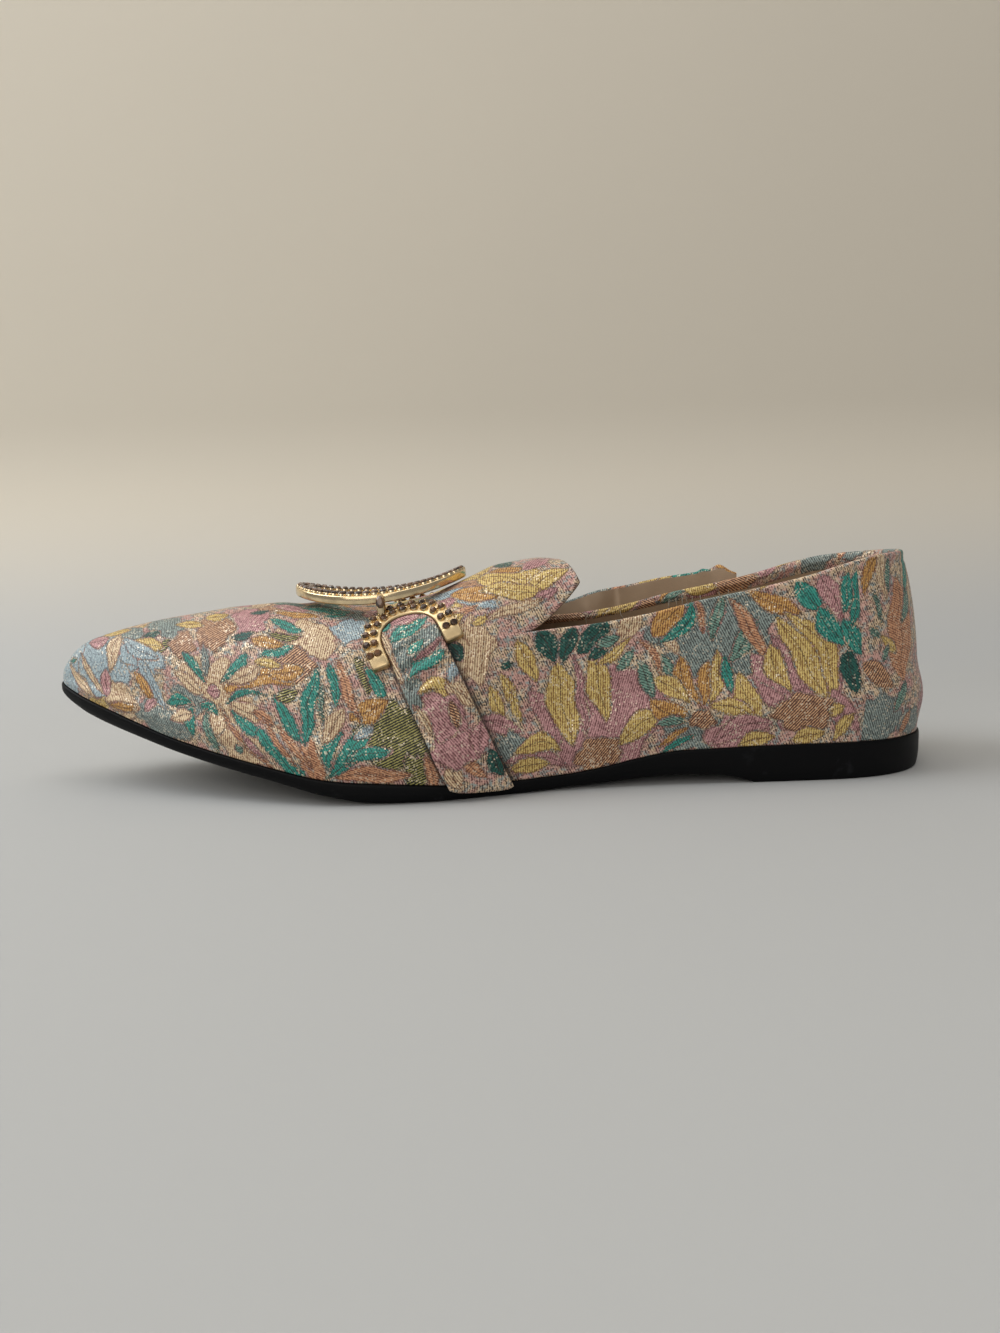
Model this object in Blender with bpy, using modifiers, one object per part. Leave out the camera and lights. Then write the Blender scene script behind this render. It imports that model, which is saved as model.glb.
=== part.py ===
"""Pointed flat, left shoe: outsole with a low heel, insole, hollow upper with a tongue, strap and buckle set.

Metres, +Z up. The toe points to -X, the outer side of the foot is -Y and the inner side +Y. The origin is on
the floor under the middle of the heel seat. Every piece is worked out from the last: sections that stand
across the shoe, one at each station u, which runs from 0 at the back of the heel to 1 at the tip of the toe.
"""
import math
from collections import namedtuple

import bmesh
import bpy
import numpy as np

# Driving sizes of the shoe
LENGTH = 0.263
BALL_WIDTH = 0.0766
HEEL_WIDTH = 0.0550
HEEL_HEIGHT = 0.0104
SOLE_EDGE = 0.0048
TOE_SPRING = 0.0272
ARCH_RISE = 0.0029
INSTEP_RISE = 0.0608
COLLAR_HEIGHT = 0.0628
TOE_SWING = 0.0040

# Walls, seats and clearances
WALL = 0.0018
INSOLE = 0.0016
GAP = 0.0003
SOLE_WELT = 0.0006
SIDE_ROLL = 0.0014
SOLE_BEVEL = 0.0022

# Strap, horseshoe, ring and slack collar fold
STRAP_WIDTH = 0.0160
STRAP_WALL = 0.0016
STRAP_LAP = 0.0022
STRAP_TOP = 0.0575
SHOE_BAND = 0.0050
SHOE_WALL = 0.0026
SHOE_LEG = 0.0040
SHOE_LINK = 0.0012
TONGUE_DIP = 0.0015
RING_LENGTH = 0.0515
RING_WIDTH = 0.0390
RING_BAND = 0.0062
RING_WALL = 0.0033
RING_SAG = 7.05
FOLD_WALL = 0.0014
FOLD_FLARE = 0.0042

# Stations, as shares of the length
HEEL_SEAT = 0.1217
HEEL_ROUND = 0.145
TOE_ROUND = 0.045
NOSE_POWER = 0.70
NOSE_START = 0.50
WAIST_BACK = 0.30
WAIST_FRONT = 0.56
HEEL_POWER = 2.3
BREAST = 0.213
THROAT = 0.480
TONGUE_TIP = 0.3965
TONGUE_NOTCH = 0.0190
TONGUE_CUT = 0.800
TONGUE_TAPER = 2.4
TONGUE_ROUND = 0.25
STRAP_FOOT = 0.5065
STRAP_TILT = 0.40
RING_MIDDLE = 0.615
RING_LOW = 0.635
FOLD_FRONT = 0.444
FOLD_BACK = 0.178
FOLD_ROOT = 0.72

# Link on the horseshoe's arch: its angle round the arch and its spread, in radians
LINK_PLACE = 1.95
LINK_SPREAD = 0.20

# Mesh steps
QUARTER_COLUMNS = 20
VAMP_COLUMNS = 24
WALL_ROWS = 7
CROWN_ROWS = 6
TONGUE_COLUMNS = 8

# Sections of the last. lateral, medial: half widths from the swung middle line, shares of half the width.
# spring: height of the sole's bottom, share of TOE_SPRING. arch: share of ARCH_RISE under the waist.
# edge: the sole edge's own thickness, share of SOLE_EDGE. seat: lift towards the heel, share of HEEL_HEIGHT.
# rise: height of the last over the sole, share of INSTEP_RISE. full: power of its arc, 2 is an ellipse.
Section = namedtuple("Section", "u lateral medial spring arch edge seat rise full")
SECTIONS = [
    Section(0.000, 0.990, 0.985, 0.000, 0.00, 0.00, 1.00, 1.184, 2.5),
    Section(0.060, 0.990, 0.985, 0.000, 0.00, 0.00, 1.00, 1.310, 2.5),
    Section(0.120, 0.990, 0.985, 0.000, 0.00, 0.00, 1.01, 1.340, 2.5),
    Section(0.200, 1.000, 0.975, 0.000, 0.00, 0.00, 1.00, 1.235, 2.5),
    Section(0.250, 1.000, 0.950, 0.000, 0.85, 0.08, 0.93, 1.200, 2.5),
    Section(0.295, 1.000, 0.905, 0.000, 1.00, 0.20, 0.84, 1.140, 2.6),
    Section(0.335, 0.985, 0.850, 0.000, 0.80, 0.52, 0.53, 1.085, 2.7),
    Section(0.380, 0.955, 0.790, 0.000, 0.48, 0.80, 0.18, 1.015, 3.0),
    Section(0.425, 0.920, 0.790, 0.000, 0.18, 0.86, 0.02, 0.992, 3.2),
    Section(0.480, 0.925, 0.870, 0.000, 0.00, 0.80, 0.00, 0.966, 3.2),
    Section(0.509, 0.948, 0.915, 0.000, 0.00, 0.84, 0.00, 0.912, 3.0),
    Section(0.536, 0.975, 0.945, 0.000, 0.00, 0.90, 0.00, 0.857, 2.8),
    Section(0.568, 1.000, 0.970, 0.000, 0.00, 1.04, 0.00, 0.798, 2.6),
    Section(0.616, 1.018, 0.990, 0.012, 0.00, 1.16, 0.00, 0.752, 2.4),
    Section(0.660, 1.005, 0.980, 0.078, 0.00, 0.98, 0.00, 0.748, 2.3),
    Section(0.720, 0.922, 0.893, 0.222, 0.00, 0.80, 0.00, 0.706, 2.2),
    Section(0.775, 0.806, 0.784, 0.335, 0.00, 0.79, 0.00, 0.648, 2.2),
    Section(0.830, 0.682, 0.660, 0.465, 0.00, 0.80, 0.00, 0.560, 2.2),
    Section(0.880, 0.545, 0.525, 0.598, 0.00, 0.88, 0.00, 0.462, 2.2),
    Section(0.930, 0.385, 0.372, 0.732, 0.00, 0.98, 0.00, 0.345, 2.3),
    Section(0.975, 0.240, 0.236, 0.885, 0.00, 0.92, 0.00, 0.222, 2.3),
    Section(1.000, 0.205, 0.205, 1.000, 0.00, 0.76, 0.00, 0.130, 2.3),
]

# Collar line: height over the floor, share of COLLAR_HEIGHT, from the throat back to the heel.
Collar = namedtuple("Collar", "u height")
COLLAR = [
    Collar(0.000, 1.000),
    Collar(0.067, 0.978),
    Collar(0.109, 0.945),
    Collar(0.163, 0.888),
    Collar(0.216, 0.842),
    Collar(0.269, 0.802),
    Collar(0.322, 0.752),
    Collar(0.375, 0.718),
    Collar(0.418, 0.703),
    Collar(0.480, 0.682),
]

# Slack fold outside the far collar: how far its lip stands over the collar and how far out, shares of FOLD_FLARE.
Fold = namedtuple("Fold", "u over out")
FOLD = [
    Fold(0.178, 0.35, 0.25),
    Fold(0.206, 0.95, 0.75),
    Fold(0.246, 1.15, 1.00),
    Fold(0.306, 1.35, 1.10),
    Fold(0.350, 1.45, 1.05),
    Fold(0.390, 1.00, 0.90),
    Fold(0.444, 0.10, 0.20),
]

LATERAL, MEDIAL = -1.0, 1.0
FINISH = namedtuple("Finish", "colour roughness metallic")
FINISHES = {
    "black_rubber": FINISH((0.020, 0.021, 0.024, 1.0), 0.45, 0.0),
    "tan_lining": FINISH((0.420, 0.290, 0.170, 1.0), 0.80, 0.0),
    "brocade": FINISH((0.350, 0.330, 0.260, 1.0), 0.55, 0.2),
    "brocade_strap": FINISH((0.360, 0.260, 0.250, 1.0), 0.55, 0.2),
    "gold_metal": FINISH((0.600, 0.430, 0.180, 1.0), 0.30, 1.0),
}


def smooth(rows, column, u):
    """Reads a table's column at u on a smooth curve that never overshoots its rows (monotone cubic)."""
    x = np.array([row.u for row in rows])
    y = np.array([getattr(row, column) for row in rows])
    step, slope = np.diff(x), np.diff(y) / np.diff(x)
    same = slope[1:] * slope[:-1] > 0
    safe = np.where(same, slope[1:] + slope[:-1], 1.0)
    inner = np.where(same, 2.0 * slope[1:] * slope[:-1] / safe, 0.0)
    tangent = np.concatenate([slope[:1], inner, slope[-1:]])
    u = np.clip(u, x[0], x[-1])
    i = np.clip(np.searchsorted(x, u, side="right") - 1, 0, len(x) - 2)
    t = (u - x[i]) / step[i]
    return ((1 + 2 * t) * (1 - t) ** 2 * y[i] + t * (1 - t) ** 2 * step[i] * tangent[i]
            + t * t * (3 - 2 * t) * y[i + 1] + t * t * (t - 1) * step[i] * tangent[i + 1])


def blend(value, low, high):
    """0 below low, 1 above high, and a smooth step between."""
    t = np.clip((value - low) / (high - low), 0.0, 1.0)
    return t * t * (3.0 - 2.0 * t)


def station_x(u):
    return LENGTH * (HEEL_SEAT - u)


def middle_y(u):
    """The middle line swings to the inner side towards the toe."""
    return TOE_SWING * np.clip((u - 0.5) / 0.5, 0.0, 1.0) ** 2


def turn(u):
    """Direction of the outline: its inward course along X, and the share that is left across the shoe."""
    heel = np.clip(1.0 - u / HEEL_ROUND, 0.0, 1.0)
    toe = np.clip(1.0 - (1.0 - u) / TOE_ROUND, 0.0, 1.0)
    power = np.where(heel > 0.0, HEEL_POWER, 2.0)
    across = (1.0 - (toe + heel) ** power) ** (1.0 / power)
    return toe - heel, across


def half_width(u, side):
    """Half width before the ends are rounded: the heel's width at the back, the ball's width in front."""
    column = "lateral" if side < 0 else "medial"
    width = HEEL_WIDTH + (BALL_WIDTH - HEEL_WIDTH) * blend(u, WAIST_BACK, WAIST_FRONT)
    return smooth(SECTIONS, column, u) * width / 2.0


def outline(u, side, inset):
    """The sole's outline in plan, moved inwards by inset all the way round."""
    along, across = turn(u)
    x = station_x(u) + inset * along
    y = middle_y(u) + side * across * (half_width(u, side) - inset)
    return x, y


def sole_bottom(u):
    return TOE_SPRING * smooth(SECTIONS, "spring", u) + ARCH_RISE * smooth(SECTIONS, "arch", u)


def feather(u):
    """Height of the join of sole and upper."""
    return (TOE_SPRING * smooth(SECTIONS, "spring", u) + SOLE_EDGE * smooth(SECTIONS, "edge", u)
            + HEEL_HEIGHT * smooth(SECTIONS, "seat", u))


def rise(u):
    nose = turn(u)[1] ** NOSE_POWER
    return INSTEP_RISE * smooth(SECTIONS, "rise", u) * np.where(u > NOSE_START, nose, 1.0)


def last_point(u, side, h):
    """Skin of the last at station u, at the share h of its rise: a superellipse arc from the sole's edge to
    the ridge, which rolls out a little over the sole and leans in along the outline's own inward course."""
    full = smooth(SECTIONS, "full", u)
    along, across = turn(u)
    reach = half_width(u, side) - SOLE_WELT
    arc = (1.0 - np.clip(h, 0.0, 1.0) ** full) ** (1.0 / full)
    roll = SIDE_ROLL * np.sin(math.pi * np.clip(h / 0.3, 0.0, 1.0)) ** 2
    inset = reach * (1.0 - arc) - roll * blend(1.0 - u, 0.0, 0.06)
    heel_side = np.clip(along, -1.0, 0.0)
    x = station_x(u) + (inset + SOLE_WELT) * heel_side + SOLE_WELT * np.clip(along, 0.0, 1.0)
    y = middle_y(u) + side * across * (reach - inset)
    return np.stack([x, y, feather(u) + GAP + rise(u) * h], axis=-1)


def skin_point(u, side, h, out):
    """A point out metres outside the last's skin, along its normal."""
    du, dh = 1e-4, 1e-4
    base = last_point(u, side, h)
    run = last_point(u + du, side, h) - last_point(u - du, side, h)
    climb = last_point(u, side, np.clip(h + dh, 0.0, 1.0)) - last_point(u, side, np.clip(h - dh, 0.0, 1.0))
    normal = np.cross(run, climb) * side
    normal /= np.linalg.norm(normal, axis=-1, keepdims=True)
    return base + normal * np.asarray(out)[..., None]


def climb_share(u, side, length):
    """The share h at which the way up the skin from the sole's edge has the given length."""
    h = np.linspace(0.0, 0.999, 80)
    flat_u, flat_length = np.ravel(u), np.ravel(length)
    shares = np.empty(len(flat_u))
    for i, (one_u, one_length) in enumerate(zip(flat_u, flat_length)):
        path = last_point(np.full(80, one_u), side, h)
        way = np.concatenate([[0.0], np.cumsum(np.linalg.norm(np.diff(path, axis=0), axis=1))])
        shares[i] = np.interp(one_length, way, h)
    return shares.reshape(np.shape(u))


def collar_share(u):
    """Share of the last's rise that the wall reaches: the collar behind the throat, an even share before it."""
    back = (COLLAR_HEIGHT * smooth(COLLAR, "height", u) - feather(u)) / rise(np.minimum(u, 0.9))
    throat = np.array([THROAT])
    front = (COLLAR_HEIGHT * smooth(COLLAR, "height", throat) - feather(throat)) / rise(throat)
    return np.where(u <= THROAT, back, front[0])


def stations(first, last, count, ease):
    """Stations that stand closer together at the start of their run, or else at its end."""
    t = np.linspace(0.0, 1.0, count + 1)
    if ease == "start":
        t = 1.0 - np.cos(t * math.pi / 2.0)
    else:
        t = np.sin(t * math.pi / 2.0)
    return first + (last - first) * t


def sole_stations():
    """All stations of the sole, with one on each side of the heel's breast."""
    back = stations(0.0, BREAST, 12, "start")
    waist = np.linspace(BREAST + 0.006, THROAT, 12)
    front = stations(THROAT, 1.0, VAMP_COLUMNS, "end")
    return np.concatenate([back, waist, front[1:]])


class Sheet:
    """Grids of points gathered into one mesh, with their common points merged."""

    def __init__(self):
        self.points, self.faces, self.count = [], [], 0

    def add(self, grid, flip=False, wrap=False):
        """Adds a grid of points as quads; wrap joins its last column to its first."""
        rows, columns = grid.shape[:2]
        index = np.arange(rows * columns).reshape(rows, columns) + self.count
        if wrap:
            index = np.concatenate([index, index[:, :1]], axis=1)
        quads = np.stack([index[:-1, :-1], index[:-1, 1:], index[1:, 1:], index[1:, :-1]], axis=-1).reshape(-1, 4)
        if flip:
            quads = quads[:, ::-1]
        self.points.append(grid.reshape(-1, 3))
        self.faces.append(quads)
        self.count += rows * columns

    def mesh(self, name, closed):
        """The merged mesh; a closed one has its faces turned outwards."""
        mesh = bpy.data.meshes.new(name)
        mesh.from_pydata(np.concatenate(self.points).tolist(), [], np.concatenate(self.faces).tolist())
        solid = bmesh.new()
        solid.from_mesh(mesh)
        bmesh.ops.remove_doubles(solid, verts=solid.verts, dist=2e-6)
        bmesh.ops.dissolve_degenerate(solid, edges=solid.edges, dist=1e-6)
        if closed:
            bmesh.ops.recalc_face_normals(solid, faces=solid.faces)
        solid.to_mesh(mesh)
        solid.free()
        mesh.shade_smooth()
        mesh.set_sharp_from_angle(angle=math.radians(40))
        return mesh


def make_material(name):
    finish = FINISHES[name]
    material = bpy.data.materials.new(name)
    material.use_nodes = True
    shader = material.node_tree.nodes["Principled BSDF"]
    shader.inputs["Base Color"].default_value = finish.colour
    shader.inputs["Roughness"].default_value = finish.roughness
    shader.inputs["Metallic"].default_value = finish.metallic
    return material


def place(name, mesh, material, collection, wall=None, offset=-1.0):
    """Puts a mesh in the collection; wall gives it a thickness, inwards with offset -1 and outwards with 1."""
    piece = bpy.data.objects.new(name, mesh)
    mesh.materials.append(material)
    collection.objects.link(piece)
    if wall:
        shell = piece.modifiers.new("wall", "SOLIDIFY")
        shell.thickness = wall
        shell.offset = offset
        shell.use_even_offset = True
        shell.thickness_clamp = 0.0
    return piece


def slab(u, shape, rows):
    """A closed slab: rings of rim points from the bottom's edge to the top's, and flat bottom and top between
    the two sides. shape gives inset and height of each row at the stations."""
    near = [np.stack([*outline(u, LATERAL, inset), height], axis=-1) for inset, height in map(shape, rows)]
    far = [np.stack([*outline(u, MEDIAL, inset), height], axis=-1) for inset, height in map(shape, rows)]
    bottom = [near[0] + (far[0] - near[0]) * t for t in (0.75, 0.5, 0.25)]
    top = [near[-1] + (far[-1] - near[-1]) * t for t in (0.25, 0.5, 0.75)]
    ring = bottom + near + top + far[::-1]
    body = Sheet()
    body.add(np.stack(ring, axis=1), wrap=True)
    return body


def make_outsole(collection, material):
    """One moulded unit: bevelled bottom edge, upright side, flat seat, and a low heel with an upright breast."""
    u = sole_stations()
    heel = u <= BREAST
    base = np.where(heel, 0.0, sole_bottom(np.maximum(u, BREAST + 0.006)))
    top = feather(u)
    thick = top - base
    bevel = SOLE_BEVEL * (0.45 + 0.55 * blend(u, BREAST, 0.60))

    def shape(row):
        inset, share = row
        return inset * bevel, base + share * thick

    rows = [(1.0, 0.0), (0.32, 0.16), (0.0, 0.45), (0.0, 0.90), (0.20, 1.0)]
    body = slab(u, shape, rows)
    return place("outsole", body.mesh("outsole", True), material, collection)


def make_insole(collection, material):
    """The foot bed, inside the upper's wall and a gap over the sole."""
    t = sole_stations()
    inset = SOLE_WELT + WALL + 4.0 * GAP
    share = inset / LENGTH
    u = share + t * (1.0 - 2.0 * share)
    sheet = Sheet()
    rims = {}
    for side in (LATERAL, MEDIAL):
        across = turn(t)[1]
        y = middle_y(u) + side * across * (half_width(t, side) - inset)
        rims[side] = np.stack([station_x(u), y], axis=-1)
    spread = np.linspace(0.0, 1.0, 7)
    plan = np.stack([rims[LATERAL] + (rims[MEDIAL] - rims[LATERAL]) * s for s in spread], axis=1)
    low = feather(u)[:, None] + GAP + np.zeros(len(spread))
    bottom = np.concatenate([plan, low[..., None]], axis=-1)
    top = bottom + np.array([0.0, 0.0, INSOLE])
    sheet.add(np.concatenate([bottom, top[:, ::-1]], axis=1), wrap=True)
    return place("insole", sheet.mesh("insole", True), material, collection)


def tongue_grid(side):
    """The vamp's own skin carried back past the throat: nearly full width, with rounded corners and an end
    that is notched in the middle and rolls down a little."""
    back = stations(0.0, 1.0, TONGUE_COLUMNS, "end")
    low = collar_share(np.array([THROAT]))[0]
    full = smooth(SECTIONS, "full", np.array([THROAT]))[0]
    open_width = (1.0 - low ** full) ** (1.0 / full)
    width = open_width * (1.0 - (TONGUE_CUT * back) ** TONGUE_TAPER) ** TONGUE_ROUND
    grid = []
    for t in np.linspace(0.0, 1.0, CROWN_ROWS + 1):
        share = math.cos(t * math.pi / 2.0)
        u = THROAT - back * (THROAT - TONGUE_TIP - TONGUE_NOTCH * (1.0 - share ** 2))
        full = smooth(SECTIONS, "full", u)
        h = (1.0 - (width * share) ** full) ** (1.0 / full)
        point = last_point(u, side, h)
        point[:, 2] -= TONGUE_DIP * np.clip((back - 0.6) / 0.4, 0.0, 1.0) ** 2 * (1.0 - share ** 2)
        grid.append(point)
    return np.stack(grid)


def make_upper(collection, material):
    """Quarters, vamp and tongue in one wall: open at the collar, slit at the throat, and open over the sole."""
    back = stations(0.0, THROAT, QUARTER_COLUMNS, "start")
    front = stations(THROAT, 1.0, VAMP_COLUMNS, "end")
    u = np.concatenate([back, front[1:]])
    skin = Sheet()
    for side in (LATERAL, MEDIAL):
        flip = side < 0
        shares = np.linspace(0.0, 1.0, WALL_ROWS + 1)
        wall = np.stack([last_point(u, side, collar_share(u) * s) for s in shares])
        skin.add(wall, flip)
        low = collar_share(front)
        full = smooth(SECTIONS, "full", front)
        edge = (1.0 - low ** full) ** (1.0 / full)
        crown = []
        for t in np.linspace(0.0, 1.0, CROWN_ROWS + 1):
            across = edge * np.cos(t * math.pi / 2.0)
            crown.append(last_point(front, side, (1.0 - across ** full) ** (1.0 / full)))
        skin.add(np.stack(crown), flip)
        skin.add(tongue_grid(side), not flip)
    return place("upper", skin.mesh("upper", False), material, collection, WALL)


def strap_patch(side, across, along, out):
    """Points on the strap's own course: across it and along it in metres, from the sole's edge upwards."""
    u = STRAP_FOOT + (along * math.sin(STRAP_TILT) - across * math.cos(STRAP_TILT)) / LENGTH
    way = along * math.cos(STRAP_TILT) + across * math.sin(STRAP_TILT)
    h = climb_share(u, side, np.maximum(way, 0.0))
    seat = (SOLE_WELT + GAP) * (1.0 - blend(way, 0.0, 0.006))
    point = skin_point(u, side, h, GAP + seat + out)
    hang = np.minimum(way, 0.0)
    point[..., 2] += hang
    return point


def make_strap(side, name, collection, material):
    """A flat band from inside the horseshoe down over the sole's top edge, cut level with that edge below and
    round above."""
    across = np.linspace(-0.5, 0.5, 7)[None, :] * STRAP_WIDTH
    t = np.linspace(0.0, 1.0, 15)[:, None]
    corner = np.abs(across) / (STRAP_WIDTH / 2.0)
    foot = (-STRAP_LAP + 0.4 * STRAP_LAP * corner ** 4 - across * math.sin(STRAP_TILT)) / math.cos(STRAP_TILT)
    arch = STRAP_WIDTH / 2.0 * (1.0 - np.sqrt(1.0 - 0.96 * corner ** 2))
    head = STRAP_TOP - SHOE_BAND - GAP - arch
    along = foot + (head - foot) * t
    band = Sheet()
    band.add(strap_patch(side, across + 0.0 * along, along, 0.0 * along), side > 0)
    return place(name, band.mesh(name, False), material, collection, STRAP_WALL, 1.0)


def make_horseshoe(side, name, collection, material):
    """An arch with two legs that flank the strap, laid on the upper's skin."""
    inner = STRAP_WIDTH / 2.0 + GAP
    radii = np.linspace(inner, inner + SHOE_BAND, 4)
    legs = np.linspace(0.0, SHOE_LEG, 4)[:-1]
    angles = np.linspace(0.0, math.pi, 17)
    centre = STRAP_TOP - inner - SHOE_BAND
    rows_across, rows_along = [], []
    link = SHOE_LINK * np.exp(-((angles - LINK_PLACE) / LINK_SPREAD) ** 2)
    for radius in radii:
        reach = radius + link * (radius - inner) / SHOE_BAND
        bend_across = reach * np.cos(angles)
        bend_along = centre + reach * np.sin(angles)
        start = centre - SHOE_LEG
        rows_across.append(np.concatenate([np.full(3, radius), bend_across, np.full(3, -radius)]))
        rows_along.append(np.concatenate([start + legs, bend_along, start + legs[::-1]]))
    across, along = np.stack(rows_across), np.stack(rows_along)
    band = Sheet()
    band.add(strap_patch(side, across, along, 0.0 * across), side < 0)
    return place(name, band.mesh(name, False), material, collection, SHOE_WALL, 1.0)


def ring_height(x):
    """Underside of the ring: a shallow bow along the instep, lowest over the front of the vamp."""
    low_u = np.array([RING_LOW])
    low = feather(low_u)[0] + rise(low_u)[0]
    return low + 3.0 * GAP + RING_SAG * (x - station_x(RING_LOW)) ** 2


def make_ring(collection, material):
    """An open oval ring, level across the shoe and bowed along it, with rounded edges."""
    angle = np.linspace(0.0, 2.0 * math.pi, 49)[:-1]
    profile = [(0.0, 0.12), (0.0, 0.88), (0.12, 1.0), (0.88, 1.0),
               (1.0, 0.88), (1.0, 0.12), (0.88, 0.0), (0.12, 0.0)]
    rows = []
    for across, up in profile:
        inset = RING_BAND * across
        x = station_x(RING_MIDDLE) + (RING_LENGTH / 2.0 - inset) * np.cos(angle)
        y = middle_y(RING_MIDDLE) + (RING_WIDTH / 2.0 - inset) * np.sin(angle)
        rows.append(np.stack([x, y, ring_height(x) + RING_WALL * up], axis=-1))
    rows.append(rows[0])
    body = Sheet()
    body.add(np.stack(rows), wrap=True)
    return place("ornament_ring", body.mesh("ornament_ring", True), material, collection)


def make_fold(collection, material):
    """The slack layer outside the far collar: it leaves the wall below the collar and its lip flares out."""
    u = np.linspace(FOLD_BACK, FOLD_FRONT, 20)
    over = FOLD_FLARE * smooth(FOLD, "over", u)
    out = FOLD_FLARE * smooth(FOLD, "out", u)
    rows = []
    for t in np.linspace(0.0, 1.0, 5):
        share = collar_share(u) * (FOLD_ROOT + (1.0 - FOLD_ROOT) * t)
        point = skin_point(u, MEDIAL, share, GAP + 0.0 * u)
        point[:, 1] += out * t ** 1.5
        point[:, 2] += over * t
        rows.append(point)
    lip = Sheet()
    lip.add(np.stack(rows))
    return place("collar_fold", lip.mesh("collar_fold", False), material, collection, FOLD_WALL, 1.0)


def main():
    for item in list(bpy.data.objects):
        bpy.data.objects.remove(item, do_unlink=True)
    collection = bpy.data.collections.new("pointed_flat")
    bpy.context.scene.collection.children.link(collection)
    finish = {name: make_material(name) for name in FINISHES}
    make_outsole(collection, finish["black_rubber"])
    make_insole(collection, finish["tan_lining"])
    make_upper(collection, finish["brocade"])
    make_strap(LATERAL, "strap_outer", collection, finish["brocade_strap"])
    make_strap(MEDIAL, "strap_inner", collection, finish["brocade_strap"])
    make_horseshoe(LATERAL, "horseshoe_outer", collection, finish["gold_metal"])
    make_horseshoe(MEDIAL, "horseshoe_inner", collection, finish["gold_metal"])
    make_ring(collection, finish["gold_metal"])
    make_fold(collection, finish["brocade"])


main()
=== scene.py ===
"""Looks of the pointed flat: a floral brocade upper with a tongue and straps, stone-set horseshoes and
a stone-set ring."""

import math
from collections import namedtuple

import bmesh
import bpy
import numpy as np
from mathutils import Matrix


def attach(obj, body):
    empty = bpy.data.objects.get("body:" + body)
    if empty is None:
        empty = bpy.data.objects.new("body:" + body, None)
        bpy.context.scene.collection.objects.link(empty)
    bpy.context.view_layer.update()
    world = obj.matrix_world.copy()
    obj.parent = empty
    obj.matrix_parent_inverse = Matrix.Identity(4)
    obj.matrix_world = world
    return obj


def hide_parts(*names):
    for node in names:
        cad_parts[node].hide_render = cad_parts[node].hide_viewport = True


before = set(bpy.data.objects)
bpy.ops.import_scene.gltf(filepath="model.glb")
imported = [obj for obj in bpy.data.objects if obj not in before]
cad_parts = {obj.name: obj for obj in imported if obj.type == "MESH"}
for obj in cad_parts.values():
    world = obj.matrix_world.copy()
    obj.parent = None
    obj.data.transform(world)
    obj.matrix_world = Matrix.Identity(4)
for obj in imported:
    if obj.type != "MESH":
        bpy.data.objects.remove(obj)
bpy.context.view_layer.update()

# Sizes of the shoe in metres, as in the part's source
LENGTH = 0.263
BALL_WIDTH = 0.0766
HEEL_WIDTH = 0.0550
HEEL_HEIGHT = 0.0104
SOLE_EDGE = 0.0048
TOE_SPRING = 0.0272
ARCH_RISE = 0.0029
INSTEP_RISE = 0.0608
COLLAR_HEIGHT = 0.0628
TOE_SWING = 0.0040
WALL = 0.0018
INSOLE = 0.0016
GAP = 0.0003
SOLE_WELT = 0.0006
SIDE_ROLL = 0.0014
SOLE_BEVEL = 0.0022
STRAP_WIDTH = 0.0160
STRAP_LAP = 0.0022
STRAP_TOP = 0.0575
SHOE_BAND = 0.0050
SHOE_LEG = 0.0040
TONGUE_DIP = 0.0015
RING_LENGTH = 0.0515
RING_WIDTH = 0.0390
RING_BAND = 0.0062
RING_WALL = 0.0033
RING_SAG = 7.05
FOLD_FLARE = 0.0042
ARCH_INNER = STRAP_WIDTH / 2.0 + GAP
ARCH_CENTRE = STRAP_TOP - ARCH_INNER - SHOE_BAND

# Stations, as shares of the length
HEEL_SEAT = 0.1217
HEEL_ROUND = 0.145
TOE_ROUND = 0.045
NOSE_POWER = 0.70
NOSE_START = 0.50
WAIST_BACK = 0.30
WAIST_FRONT = 0.56
HEEL_POWER = 2.3
BREAST = 0.213
THROAT = 0.480
TONGUE_TIP = 0.3965
TONGUE_NOTCH = 0.0190
TONGUE_CUT = 0.800
TONGUE_TAPER = 2.4
TONGUE_ROUND = 0.25
STRAP_FOOT = 0.5065
STRAP_TILT = 0.40
RING_MIDDLE = 0.615
RING_LOW = 0.635
FOLD_FRONT = 0.444
FOLD_BACK = 0.178
FOLD_ROOT = 0.72
LINK_PLACE = 1.95
PANEL_SEAM = 0.096

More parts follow.
